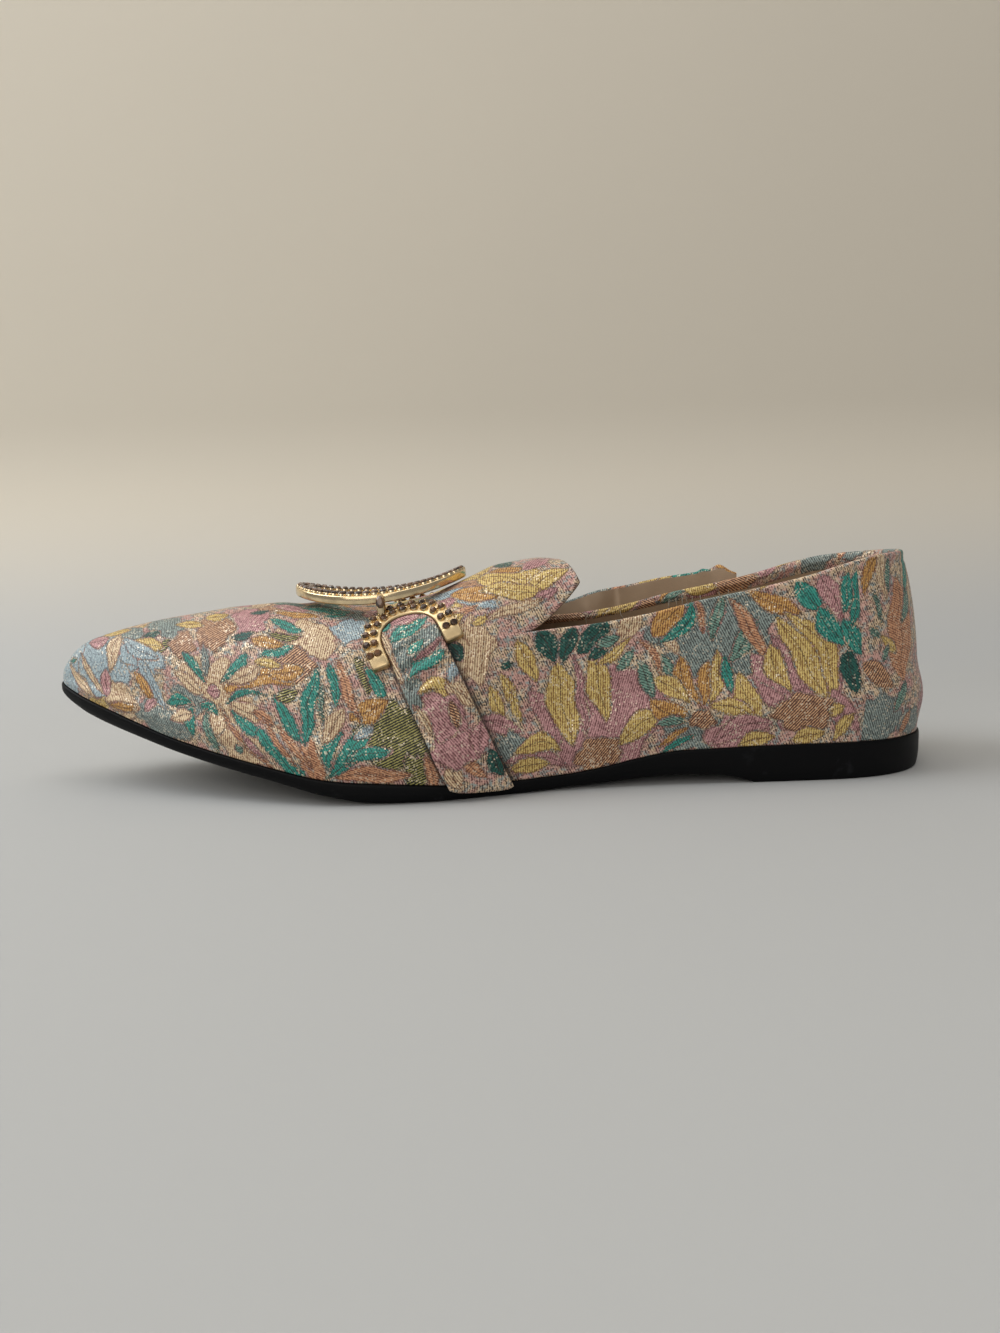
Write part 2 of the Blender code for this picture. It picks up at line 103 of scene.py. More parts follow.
Section = namedtuple("Section", "u lateral medial spring arch edge seat rise full")
SECTIONS = [
    Section(0.000, 0.990, 0.985, 0.000, 0.00, 0.00, 1.00, 1.184, 2.5),
    Section(0.060, 0.990, 0.985, 0.000, 0.00, 0.00, 1.00, 1.310, 2.5),
    Section(0.120, 0.990, 0.985, 0.000, 0.00, 0.00, 1.01, 1.340, 2.5),
    Section(0.200, 1.000, 0.975, 0.000, 0.00, 0.00, 1.00, 1.235, 2.5),
    Section(0.250, 1.000, 0.950, 0.000, 0.85, 0.08, 0.93, 1.200, 2.5),
    Section(0.295, 1.000, 0.905, 0.000, 1.00, 0.20, 0.84, 1.140, 2.6),
    Section(0.335, 0.985, 0.850, 0.000, 0.80, 0.52, 0.53, 1.085, 2.7),
    Section(0.380, 0.955, 0.790, 0.000, 0.48, 0.80, 0.18, 1.015, 3.0),
    Section(0.425, 0.920, 0.790, 0.000, 0.18, 0.86, 0.02, 0.992, 3.2),
    Section(0.480, 0.925, 0.870, 0.000, 0.00, 0.80, 0.00, 0.966, 3.2),
    Section(0.509, 0.948, 0.915, 0.000, 0.00, 0.84, 0.00, 0.912, 3.0),
    Section(0.536, 0.975, 0.945, 0.000, 0.00, 0.90, 0.00, 0.857, 2.8),
    Section(0.568, 1.000, 0.970, 0.000, 0.00, 1.04, 0.00, 0.798, 2.6),
    Section(0.616, 1.018, 0.990, 0.012, 0.00, 1.16, 0.00, 0.752, 2.4),
    Section(0.660, 1.005, 0.980, 0.078, 0.00, 0.98, 0.00, 0.748, 2.3),
    Section(0.720, 0.922, 0.893, 0.222, 0.00, 0.80, 0.00, 0.706, 2.2),
    Section(0.775, 0.806, 0.784, 0.335, 0.00, 0.79, 0.00, 0.648, 2.2),
    Section(0.830, 0.682, 0.660, 0.465, 0.00, 0.80, 0.00, 0.560, 2.2),
    Section(0.880, 0.545, 0.525, 0.598, 0.00, 0.88, 0.00, 0.462, 2.2),
    Section(0.930, 0.385, 0.372, 0.732, 0.00, 0.98, 0.00, 0.345, 2.3),
    Section(0.975, 0.240, 0.236, 0.885, 0.00, 0.92, 0.00, 0.222, 2.3),
    Section(1.000, 0.205, 0.205, 1.000, 0.00, 0.76, 0.00, 0.130, 2.3),
]
Collar = namedtuple("Collar", "u height")
COLLAR = [
    Collar(0.000, 1.000),
    Collar(0.067, 0.978),
    Collar(0.109, 0.945),
    Collar(0.163, 0.888),
    Collar(0.216, 0.842),
    Collar(0.269, 0.802),
    Collar(0.322, 0.752),
    Collar(0.375, 0.718),
    Collar(0.418, 0.703),
    Collar(0.480, 0.682),
]
Fold = namedtuple("Fold", "u over out")
FOLD = [
    Fold(0.178, 0.35, 0.25),
    Fold(0.206, 0.95, 0.75),
    Fold(0.246, 1.15, 1.00),
    Fold(0.306, 1.35, 1.10),
    Fold(0.350, 1.45, 1.05),
    Fold(0.390, 1.00, 0.90),
    Fold(0.444, 0.10, 0.20),
]
LATERAL, MEDIAL = -1.0, 1.0
MM = 0.001


def smooth(rows, column, u):
    """Reads a table's column at u on a monotone cubic curve through its rows."""
    x = np.array([row.u for row in rows])
    y = np.array([getattr(row, column) for row in rows])
    step, slope = np.diff(x), np.diff(y) / np.diff(x)
    same = slope[1:] * slope[:-1] > 0
    safe = np.where(same, slope[1:] + slope[:-1], 1.0)
    inner = np.where(same, 2.0 * slope[1:] * slope[:-1] / safe, 0.0)
    tangent = np.concatenate([slope[:1], inner, slope[-1:]])
    u = np.clip(u, x[0], x[-1])
    i = np.clip(np.searchsorted(x, u, side="right") - 1, 0, len(x) - 2)
    t = (u - x[i]) / step[i]
    return ((1 + 2 * t) * (1 - t) ** 2 * y[i] + t * (1 - t) ** 2 * step[i] * tangent[i]
            + t * t * (3 - 2 * t) * y[i + 1] + t * t * (t - 1) * step[i] * tangent[i + 1])


def blend(value, low, high):
    """0 below low, 1 above high, and a smooth step between."""
    t = np.clip((value - low) / (high - low), 0.0, 1.0)
    return t * t * (3.0 - 2.0 * t)


def bell(value, centre, width):
    """1 at the centre, falling off smoothly on both sides."""
    return np.exp(-((value - centre) / width) ** 2)


def station_x(u):
    return LENGTH * (HEEL_SEAT - u)


def middle_y(u):
    return TOE_SWING * np.clip((u - 0.5) / 0.5, 0.0, 1.0) ** 2


def turn(u):
    """Inward course of the outline along X, and the share of its width that is left across the shoe."""
    heel = np.clip(1.0 - u / HEEL_ROUND, 0.0, 1.0)
    toe = np.clip(1.0 - (1.0 - u) / TOE_ROUND, 0.0, 1.0)
    power = np.where(heel > 0.0, HEEL_POWER, 2.0)
    across = (1.0 - (toe + heel) ** power) ** (1.0 / power)
    return toe - heel, across


def half_width(u, side):
    column = "lateral" if side < 0 else "medial"
    width = HEEL_WIDTH + (BALL_WIDTH - HEEL_WIDTH) * blend(u, WAIST_BACK, WAIST_FRONT)
    return smooth(SECTIONS, column, u) * width / 2.0


def outline(u, side, inset):
    """The sole's outline in plan, moved inwards by inset."""
    along, across = turn(u)
    x = station_x(u) + inset * along
    y = middle_y(u) + side * across * (half_width(u, side) - inset)
    return x, y


def sole_bottom(u):
    return TOE_SPRING * smooth(SECTIONS, "spring", u) + ARCH_RISE * smooth(SECTIONS, "arch", u)


def feather(u):
    """Height of the join of sole and upper."""
    return (TOE_SPRING * smooth(SECTIONS, "spring", u) + SOLE_EDGE * smooth(SECTIONS, "edge", u)
            + HEEL_HEIGHT * smooth(SECTIONS, "seat", u))


def rise(u):
    nose = turn(u)[1] ** NOSE_POWER
    return INSTEP_RISE * smooth(SECTIONS, "rise", u) * np.where(u > NOSE_START, nose, 1.0)


def last_point(u, side, h):
    """Skin of the last at station u and share h of its rise: a superellipse arc from the sole's edge up."""
    full = smooth(SECTIONS, "full", u)
    along, across = turn(u)
    reach = half_width(u, side) - SOLE_WELT
    arc = (1.0 - np.clip(h, 0.0, 1.0) ** full) ** (1.0 / full)
    roll = SIDE_ROLL * np.sin(math.pi * np.clip(h / 0.3, 0.0, 1.0)) ** 2
    inset = reach * (1.0 - arc) - roll * blend(1.0 - u, 0.0, 0.06)
    heel_side = np.clip(along, -1.0, 0.0)
    x = station_x(u) + (inset + SOLE_WELT) * heel_side + SOLE_WELT * np.clip(along, 0.0, 1.0)
    y = middle_y(u) + side * across * (reach - inset)
    return np.stack([x, y, feather(u) + GAP + rise(u) * h], axis=-1)


def unit(vectors):
    return vectors / np.maximum(np.linalg.norm(vectors, axis=-1, keepdims=True), 1e-12)


def skin_normal(u, side, h):
    """Outward normal of the last's skin, from small steps along and up it."""
    du, dh = 1e-4, 1e-4
    run = last_point(u + du, side, h) - last_point(u - du, side, h)
    climb = last_point(u, side, np.clip(h + dh, 0.0, 1.0)) - last_point(u, side, np.clip(h - dh, 0.0, 1.0))
    return unit(np.cross(run, climb) * side)


def skin_point(u, side, h, out):
    return last_point(u, side, h) + skin_normal(u, side, h) * np.asarray(out)[..., None]


def climb_share(u, side, length):
    """The share h at which the way up the skin from the sole's edge has the given length."""
    h = np.linspace(0.0, 0.999, 90)
    path = last_point(np.ravel(u)[:, None], side, h[None, :])
    step = np.linalg.norm(np.diff(path, axis=1), axis=2)
    way = np.concatenate([np.zeros((len(path), 1)), np.cumsum(step, axis=1)], axis=1)
    wanted = np.ravel(length)
    k = np.clip((way < wanted[:, None]).sum(axis=1) - 1, 0, len(h) - 2)
    row = np.arange(len(path))
    t = np.clip((wanted - way[row, k]) / (way[row, k + 1] - way[row, k]), 0.0, 1.0)
    return (h[k] + t * (h[k + 1] - h[k])).reshape(np.shape(u))


def collar_share(u):
    """Share of the rise that the wall reaches: the collar behind the throat, an even share before it."""
    back = (COLLAR_HEIGHT * smooth(COLLAR, "height", u) - feather(u)) / rise(np.minimum(u, 0.9))
    throat = np.array([THROAT])
    front = (COLLAR_HEIGHT * smooth(COLLAR, "height", throat) - feather(throat)) / rise(throat)
    return np.where(u <= THROAT, back, front[0])


def outline_way(side):
    """Fine stations, and the way round the outline in plan from the heel's middle to each."""
    u = (1.0 - np.cos(np.linspace(0.0, math.pi, 4001))) / 2.0
    x, y = outline(u, side, 0.0)
    way = np.concatenate([[0.0], np.cumsum(np.hypot(np.diff(x), np.diff(y)))])
    return u, way


def even_stations(side, first, last, count):
    """Stations from first to last at even steps of the way round the outline, and that way."""
    u, way = outline_way(side)
    ends = np.interp([first, last], u, way)
    steps = np.linspace(ends[0], ends[1], count + 1)
    return np.interp(steps, way, u), steps


def climb(grid):
    """Way up each column of a grid from its first row."""
    step = np.linalg.norm(np.diff(grid, axis=0), axis=2)
    return np.concatenate([np.zeros((1, grid.shape[1])), np.cumsum(step, axis=0)])


class Sheet:
    """Grids of points, each point with its place on the flat cloth in millimetres, gathered into one mesh."""

    def __init__(self):
        self.points, self.charts, self.faces, self.slots, self.count = [], [], [], [], 0

    def add(self, grid, chart=None, flip=False, wrap=False, slot=0):
        """Adds a grid as quads; wrap joins its last column to its first."""
        rows, columns = grid.shape[:2]
        index = np.arange(rows * columns).reshape(rows, columns) + self.count
        if wrap:
            index = np.concatenate([index, index[:, :1]], axis=1)
        quads = np.stack([index[:-1, :-1], index[:-1, 1:], index[1:, 1:], index[1:, :-1]], axis=-1)
        quads = quads.reshape(-1, 4)
        if flip:
            quads = quads[:, ::-1]
        if chart is None:
            chart = np.zeros((rows, columns, 2))
        self.points.append(grid.reshape(-1, 3))
        self.charts.append(np.asarray(chart, float).reshape(-1, 2))
        self.faces.append(quads)
        self.slots.append(np.full(len(quads), slot))
        self.count += rows * columns

    def piece(self, name, materials, merge=2e-6, closed=False, sharp=60.0):
        """The merged mesh as an object with its cloth places in the attribute chart."""
        mesh = bpy.data.meshes.new(name)
        mesh.from_pydata(np.concatenate(self.points), [], np.concatenate(self.faces))
        chart = np.concatenate(self.charts)
        places = np.concatenate([chart, np.zeros((len(chart), 1))], axis=1)
        mesh.attributes.new("chart", "FLOAT_VECTOR", "POINT").data.foreach_set("vector", places.ravel())
        for material in materials:
            mesh.materials.append(material)
        mesh.polygons.foreach_set("material_index", np.concatenate(self.slots))
        if merge:
            weld(mesh, merge, closed)
        mesh.shade_smooth()
        mesh.set_sharp_from_angle(angle=math.radians(sharp))
        return place_object(name, mesh)


def place_object(name, data):
    """An object with the given data, linked into the scene."""
    made = bpy.data.objects.new(name, data)
    bpy.context.scene.collection.objects.link(made)
    return made


def store(mesh, name, values):
    """Keeps one number for each point of the mesh as an attribute."""
    mesh.attributes.new(name, "FLOAT", "POINT").data.foreach_set("value", values.astype(np.float32))


def weld(mesh, distance, closed):
    """Merges points that lie together, drops faces without area, and turns a closed shell outwards."""
    body = bmesh.new()
    body.from_mesh(mesh)
    bmesh.ops.remove_doubles(body, verts=body.verts, dist=distance)
    bmesh.ops.dissolve_degenerate(body, edges=body.edges, dist=distance / 2)
    if closed:
        bmesh.ops.recalc_face_normals(body, faces=body.faces)
    body.to_mesh(mesh)
    body.free()


def settle(piece, slot, *nodes):
    """Rides the piece on the shoe and lets it stand for its CAD nodes. The slot is not used."""
    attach(piece, "root")
    if nodes:
        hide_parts(*nodes)
    return piece


# Soft relief on the cloth: troughs and ridges between two places on the flat cloth, in millimetres
Crease = namedtuple("Crease", "x0 y0 x1 y1 width depth")
OUTER_CREASES = [
    Crease(119, 4, 127, 34, 4.0, 0.35),
    Crease(94, 28, 114, 37, 3.5, 0.40),
    Crease(58, 18, 80, 35, 5.0, 0.40),
    Crease(47, 8, 53, 40, 4.0, 0.30),
    Crease(85, 2, 100, 14, 4.0, 0.30),
]
VAMP_CREASES = [
    Crease(147.2, 27, 145.2, 42, 0.75, 0.40),
    Crease(149.2, 27, 147.2, 43, 0.70, 0.35),
    Crease(151.2, 26, 149.4, 43, 0.75, 0.45),
    Crease(153.2, 27, 151.6, 42, 0.70, 0.35),
    Crease(155.2, 27, 153.8, 41, 0.75, 0.40),
    Crease(138, 16, 148, 19, 1.3, 0.35),
    Crease(136, 9, 147, 11, 1.6, 0.30),
    Crease(176, 4, 196, 36, 4.0, 0.35),
    Crease(167, 22, 182, 42, 3.0, 0.30),
    Crease(205, 26, 228, 44, 4.5, 0.35),
    Crease(232, 6, 256, 20, 4.0, 0.30),
    Crease(196, 50, 206, 72, 4.0, 0.35),
]

# A crease's two low ridges: their share of its depth, and their place and width in its own widths
RIDGE_HEIGHT = 0.45
RIDGE_PLACE = 1.9
RIDGE_WIDTH = 0.9
CREASE_FADE = 0.3

# The bead along the collar's edge, its stitch line, and the groove at the heel panel's seam, in millimetres
EDGE_BEAD = 0.32
STITCH_LINE = 2.4
SEAM_GROOVE = 0.38

# The cloth's tuck over the sole, and the turned-in band's wave and lower lip, in metres
FOOT_TUCK = 0.0004
BAND_WAVE = 0.00015
BAND_LIP = 0.0003


def crease_height(x, y, creases):
    """Relief at places on the flat cloth, all in millimetres: for each crease, minus its depth times a bell
    across its line, with a low ridge on both sides, fading out at the line's ends."""
    total = np.zeros(np.shape(x))
    for c in creases:
        run = np.array([c.x1 - c.x0, c.y1 - c.y0])
        length = np.hypot(*run)
        along = ((x - c.x0) * run[0] + (y - c.y0) * run[1]) / length
        across = ((y - c.y0) * run[0] - (x - c.x0) * run[1]) / length
        fade = blend(along, 0.0, CREASE_FADE * length) * blend(length - along, 0.0, CREASE_FADE * length)
        s = across / c.width
        ridges = RIDGE_HEIGHT * bell(np.abs(s), RIDGE_PLACE, RIDGE_WIDTH)
        total += fade * c.depth * (ridges - bell(s, 0.0, 1.0))
    return total


def quarter_grid(side, first, last, columns, rows, band, creases):
    """Cloth of one quarter: tucked in over the sole, up the skin, over the collar in a half round, and down
    inside as a turned-in band whose width in metres band gives at the stations."""
    u, way = even_stations(side, first, last, columns)
    low = collar_share(u)
    share = np.linspace(0.0, 1.0, rows + 1)[:, None] * low[None, :]
    base = last_point(u, side, share)
    height = climb(base)
    x, y = way[None, :] / MM + 0.0 * height, height / MM
    below = (height[-1:] - height) / MM
    seam = np.interp(PANEL_SEAM, *outline_way(side)) / MM
    out = crease_height(x, y, creases)
    out += EDGE_BEAD * bell(below, 0.0, 1.0) - 0.5 * EDGE_BEAD * bell(below, STITCH_LINE, 0.5)
    out -= SEAM_GROOVE * bell(x, seam, 0.7)
    out *= MM
    wall = base + skin_normal(u, side, share) * out[..., None]
    tuck = wall[:1] + np.array([0.0, 0.0, -0.9 * GAP]) - FOOT_TUCK * skin_normal(u, side, share[:1])
    edge, normal = wall[-1], skin_normal(u, side, share[-1])
    up = unit(wall[-1] - wall[-2])
    angle = np.linspace(0.0, math.pi, 9)[1:, None, None]
    roll = edge + up * (WALL / 2 * np.sin(angle)) - normal * (WALL / 2 * (1.0 - np.cos(angle)))
    depth = np.linspace(0.0, 1.0, 9)[1:, None]
    drop = band(u)[None, :] * depth
    inner_share = low[None, :] - drop / rise(u)[None, :]
    wave = BAND_WAVE * np.sin(depth * 5.0)
    inner = skin_point(u, side, inner_share, -WALL - wave + 0.0 * inner_share)
    inner[-1] += BAND_LIP * skin_normal(u, side, inner_share[-1])
    grid = np.concatenate([tuck, wall, roll, inner])
    total = climb(grid) / MM
    chart = np.stack([way[None, :] / MM + 0.0 * total, total - total[1:2]], axis=-1)
    return grid, chart


def crown_rows(u, wall_rows, top_rows):
    """Shares h from the sole's edge to the ridge: even up to the collar's share, then even round the arc."""
    low = collar_share(u)
    full = smooth(SECTIONS, "full", u)
    edge = (1.0 - low ** full) ** (1.0 / full)
    wall = np.linspace(0.0, 1.0, wall_rows + 1)[:, None] * low[None, :]
    across = edge[None, :] * np.cos(np.linspace(0.0, math.pi / 2, top_rows + 1))[1:, None]
    crown = (1.0 - across ** full) ** (1.0 / full)
    return np.concatenate([wall, crown])


def vamp_grid(columns, near_rows, far_rows, creases):
    """Cloth of the vamp from the near sole edge over the ridge to the far one, tucked in at both."""
    u, way = even_stations(LATERAL, THROAT, 1.0, columns)
    sides = []
    for side, (wall_rows, top_rows) in ((LATERAL, near_rows), (MEDIAL, far_rows)):
        share = crown_rows(u, wall_rows, top_rows)
        base = last_point(u, side, share)
        normal = skin_normal(u, side, np.minimum(share, 0.9995))
        sides.append((base, normal, climb(base) / MM))
    near, far = sides
    girth = near[2][-1] + far[2][-1]
    base = np.concatenate([near[0], far[0][-2::-1]])
    normal = np.concatenate([near[1], far[1][-2::-1]])
    height = np.concatenate([near[2], girth[None, :] - far[2][-2::-1]])
    x = way[None, :] / MM + 0.0 * height
    out = crease_height(x, height, creases) * MM
    skin = base + normal * out[..., None]
    down = np.array([0.0, 0.0, -0.9 * GAP])
    tucks = [skin[row] + down - FOOT_TUCK * normal[row] for row in (slice(0, 1), slice(-1, None))]
    grid = np.concatenate([tucks[0], skin, tucks[1]])
    chart = np.stack([x, height], axis=-1)
    chart = np.concatenate([chart[:1], chart, chart[-1:]])
    return grid, chart


def tongue_side(side, columns, top_rows):
    """One half of the tongue's skin: rows from its edge to the ridge, columns from the throat back."""
    back = np.sin(np.linspace(0.0, math.pi / 2, columns + 1))
    throat = np.array([THROAT])
    low = collar_share(throat)[0]
    full = smooth(SECTIONS, "full", throat)[0]
    open_width = (1.0 - low ** full) ** (1.0 / full)
    width = open_width * (1.0 - (TONGUE_CUT * back) ** TONGUE_TAPER) ** TONGUE_ROUND
    share = np.cos(np.linspace(0.0, math.pi / 2, top_rows + 1))[:, None]
    u = THROAT - back * (THROAT - TONGUE_TIP - TONGUE_NOTCH * (1.0 - share ** 2))
    full = smooth(SECTIONS, "full", u)
    h = (1.0 - (width * share) ** full) ** (1.0 / full)
    point = last_point(u, side, h)
    point[..., 2] -= TONGUE_DIP * np.clip((back - 0.6) / 0.4, 0.0, 1.0) ** 2 * (1.0 - share ** 2)
    normal = skin_normal(u, side, np.minimum(h, 0.9995))
    return point, normal


def tongue_grids(columns, near_rows, far_rows):
    """The whole tongue's skin from its near edge over the ridge to its far edge, with its normals."""
    near, near_normal = tongue_side(LATERAL, columns, near_rows[1])
    far, far_normal = tongue_side(MEDIAL, columns, far_rows[1])
    return np.concatenate([near, far[-2::-1]]), np.concatenate([near_normal, far_normal[-2::-1]])


def rim_of(grid):
    """A tongue grid's free rim: along its near edge, over its back end, and along its far edge."""
    return np.concatenate([grid[0], grid[1:-1, -1], grid[-1, ::-1]])


def rolled_rim(rim, normal, radius, angles):
    """A round roll carried along a rim: outwards across the rim in the skin, then under it."""
    step = np.gradient(rim, axis=0)
    for _ in range(6):
        step[1:-1] = (step[:-2] + 2.0 * step[1:-1] + step[2:]) / 4.0
    outward = unit(np.cross(unit(step), normal))
    angle = np.asarray(angles)[:, None, None]
    return rim + outward * (radius * np.sin(angle)) - normal * (radius * (1.0 - np.cos(angle)))


# Motifs of the brocade on the flat cloth, in millimetres: the thread, the base and tip of a leaf or petal,
# its half width, how far its middle line bows to its left, and where along it is widest. Later rows lie on
# top of earlier ones.
Leaf = namedtuple("Leaf", "thread x0 y0 x1 y1 half bow belly", defaults=(0.0, 0.5))

# Round patches: the thread, the middle and the two half widths
Patch = namedtuple("Patch", "thread x y rx ry")

QUARTER_MOTIFS = [
    Patch("slate", 82, 33, 17, 13),
    Leaf("sage", 78, 24, 70, 36, 2.4, 0.8),
    Leaf("cream", 92, 27, 96, 38, 1.8, -0.6),
    Patch("slate", 87, 5, 9, 6),
    Patch("mauve", 112, 13, 15, 14),
    Patch("mauve", 58, 18, 12, 13),
    Patch("mauve", 76, 3, 9, 6),
    Patch("slate", 139, 9, 4, 5),
    Leaf("mauve", 126, 8, 134, 25, 3.4, 1.5),
    Leaf("cream", 108, 33, 103, 42, 3.4),
    Leaf("mauve", 124, 2, 141, 5, 2.4, 2.5),
    Leaf("yellow", 121.5, 8, 125.8, 32, 4.4, -0.8, 0.55),
    Leaf("yellow", 112.5, 13, 116.2, 32.5, 3.4, 0.2, 0.55),
    Leaf("mauve", 118.0, 9, 120.6, 33, 1.3),
    Leaf("yellow", 109, 5.5, 97, 11.5, 3.6, -1.0, 0.55),
    Leaf("yellow", 138.5, 7.5, 125, 7, 2.5, -3.0),
    Leaf("yellow", 140, 2.5, 129, 3.5, 2.3, -1.2),
    Patch("tan", 115, 4, 6.5, 4.8),
    Leaf("pine", 126, 31, 131.5, 40.5, 3.0, 0.6, 0.6),
    Leaf("pine", 124, 31, 121, 41, 2.6, -0.4, 0.6),
    Leaf("pine", 119.5, 33, 112, 42, 4.0, 1.2, 0.45),
    Leaf("pine", 117, 30.5, 110.5, 34.5, 1.7),
    Leaf("pine", 141.5, 31, 138, 33, 1.2),
    Leaf("sage", 114.5, 34.5, 108, 35.5, 1.7),
    Leaf("yellow", 115, 29, 105, 34, 1.5, 0.6),
    Leaf("sage", 109.5, 26.5, 104, 30.5, 1.6),
    Leaf("sage", 99.5, 16, 103.5, 27, 1.9, 0.8),
    Leaf("sage", 92.5, 21, 98.5, 28.5, 1.5),
    Leaf("peach", 96.5, 22, 102, 33, 1.1, 0.7),
    Leaf("orange", 98.5, 33.5, 90, 41, 3.8, -0.6, 0.45),
    Leaf("teal", 97, 31.5, 88, 42, 2.0, 3.4, 0.5),
    Leaf("orange", 86.5, 12.5, 92, 26.5, 2.4, -1.0, 0.6),
    Leaf("orange", 86, 12.5, 83.5, 25, 2.6, 0.6, 0.6),
    Leaf("yellow", 85, 12, 81.5, 28, 2.0, 2.2, 0.6),
    Leaf("yellow", 89.5, 13, 98.5, 21.5, 2.9, 0.8, 0.6),
    Leaf("orange", 89.5, 9.5, 100.5, 16, 2.6, -1.2),
    Leaf("teal", 78, 15, 79.5, 26, 1.6, 0.5),
    Leaf("sage", 90, 8, 98.5, 8.5, 1.4, 0.8),
    Leaf("orange", 98, 1.5, 89.5, 6, 1.0, -0.8),
    Leaf("teal", 97, 0, 88, 3.5, 1.1, -0.6),
    Leaf("peach", 84.5, 33, 86.5, 42, 1.0),
    Leaf("sage", 82.5, 31, 79.5, 43, 1.7),
    Patch("tan", 85.5, 8.5, 3.4, 2.8),
    Leaf("yellow", 68, 6.5, 75, 20.5, 3.6, -2.0, 0.55),
    Leaf("yellow", 70, 8, 84, 13, 2.1, 0.8),
    Leaf("peach", 67.5, 24, 77.5, 41.5, 2.0, 0.8),
    Leaf("orange", 58, 37, 71.5, 43.5, 2.6, -0.8),
    Leaf("mauve", 63, 13, 72, 26, 3.0, 1.0, 0.6),
    Leaf("yellow", 50.5, 11, 62.5, 37.0, 3.0, 6.0, 0.50),
    Leaf("yellow", 51.5, 11, 64.5, 35.5, 3.8, 1.2, 0.55),
    Leaf("mauve", 57.5, 11, 66.2, 31, 1.8, 0.6, 0.6),
    Leaf("yellow", 61.5, 15, 67, 28.5, 2.9, -0.6, 0.55),
    Leaf("teal", 52.5, 37, 58.5, 45.5, 3.2, 0.0, 0.55),
    Leaf("mauve", 45.5, 33.5, 52, 47, 3.3, 0.4, 0.6),
    Leaf("teal", 42.5, 27, 53.5, 38, 3.2, -1.5, 0.55),
    Leaf("teal", 39.5, 25, 45.5, 35, 3.0, -0.4, 0.45),
    Leaf("teal", 42.5, 33, 38, 51, 2.6, -0.8),
    Leaf("teal", 45.5, 36.5, 43, 48, 1.9),
    Leaf("pine", 43.2, 14, 44.6, 26.5, 2.9, 0.0, 0.5),
    Leaf("mauve", 50, 15, 41.5, 3.5, 3.6, 1.0),
    Leaf("yellow", 51.5, 8, 46, 10.5, 1.8),
    Leaf("yellow", 48.5, 0, 43, 8.5, 1.7, -0.8),
    Patch("tan", 57.5, 9, 8.0, 5.6),
    Leaf("yellow", 60.5, 1, 51.5, 3, 2.4, -0.6),
    Leaf("mauve", 83, 1.5, 66, 7, 3.2, -1.5),
    Leaf("yellow", 75.5, 0, 65.5, 2.5, 2.2, -0.8),
]

HEEL_MOTIFS = [
    Leaf("peach", 27, 16, 25, 46, 6.0, 1.0),
    Leaf("cream", 20, 36, 15, 57, 3.4, -0.8),
    Leaf("cream", 31, 40, 32, 56, 2.2),
    Leaf("peach", 12, 8, 6, 34, 3.6, 1.2),
    Patch("slate", 36, 6, 9, 7),
    Patch("slate", 22, 4, 6, 4),
    Patch("slate", 0, 12, 9, 12),
    Leaf("sage", 24.5, 32.5, 19.5, 44, 1.6, 0.6),
    Leaf("teal", 21, 41, 15.5, 57, 1.9, 0.8),
    Leaf("sage", 29.8, 42, 28, 52, 1.1),
    Leaf("sage", 33, 33.5, 35.5, 42, 1.0),
    Leaf("orange", 38.5, 41, 33.5, 52, 2.0, -0.8, 0.6),
    Leaf("sage", 37.5, 31.5, 33.5, 29, 1.2),
    Leaf("yellow", 34, 29.5, 28, 25, 1.6),
    Leaf("tan", 39.5, 22.5, 31.5, 15, 3.2),
    Leaf("sage", 33, 22, 31.5, 27, 1.0),
    Leaf("peach", 26.5, 1, 23, 7, 1.6),
    Leaf("sage", 30, 8, 26, 16, 1.6),
    Leaf("teal", 12, 30, 8, 46, 2.2, 1.2),
    Leaf("yellow", 4, 28, 10, 14, 3.0, 1.6),
    Leaf("mauve", 12, 18, 18, 6, 2.6, -1.2),
    Leaf("orange", 3, 50, -2, 34, 2.6, 1.4),
    Leaf("pine", 14, 52, 10, 58, 1.8),
]

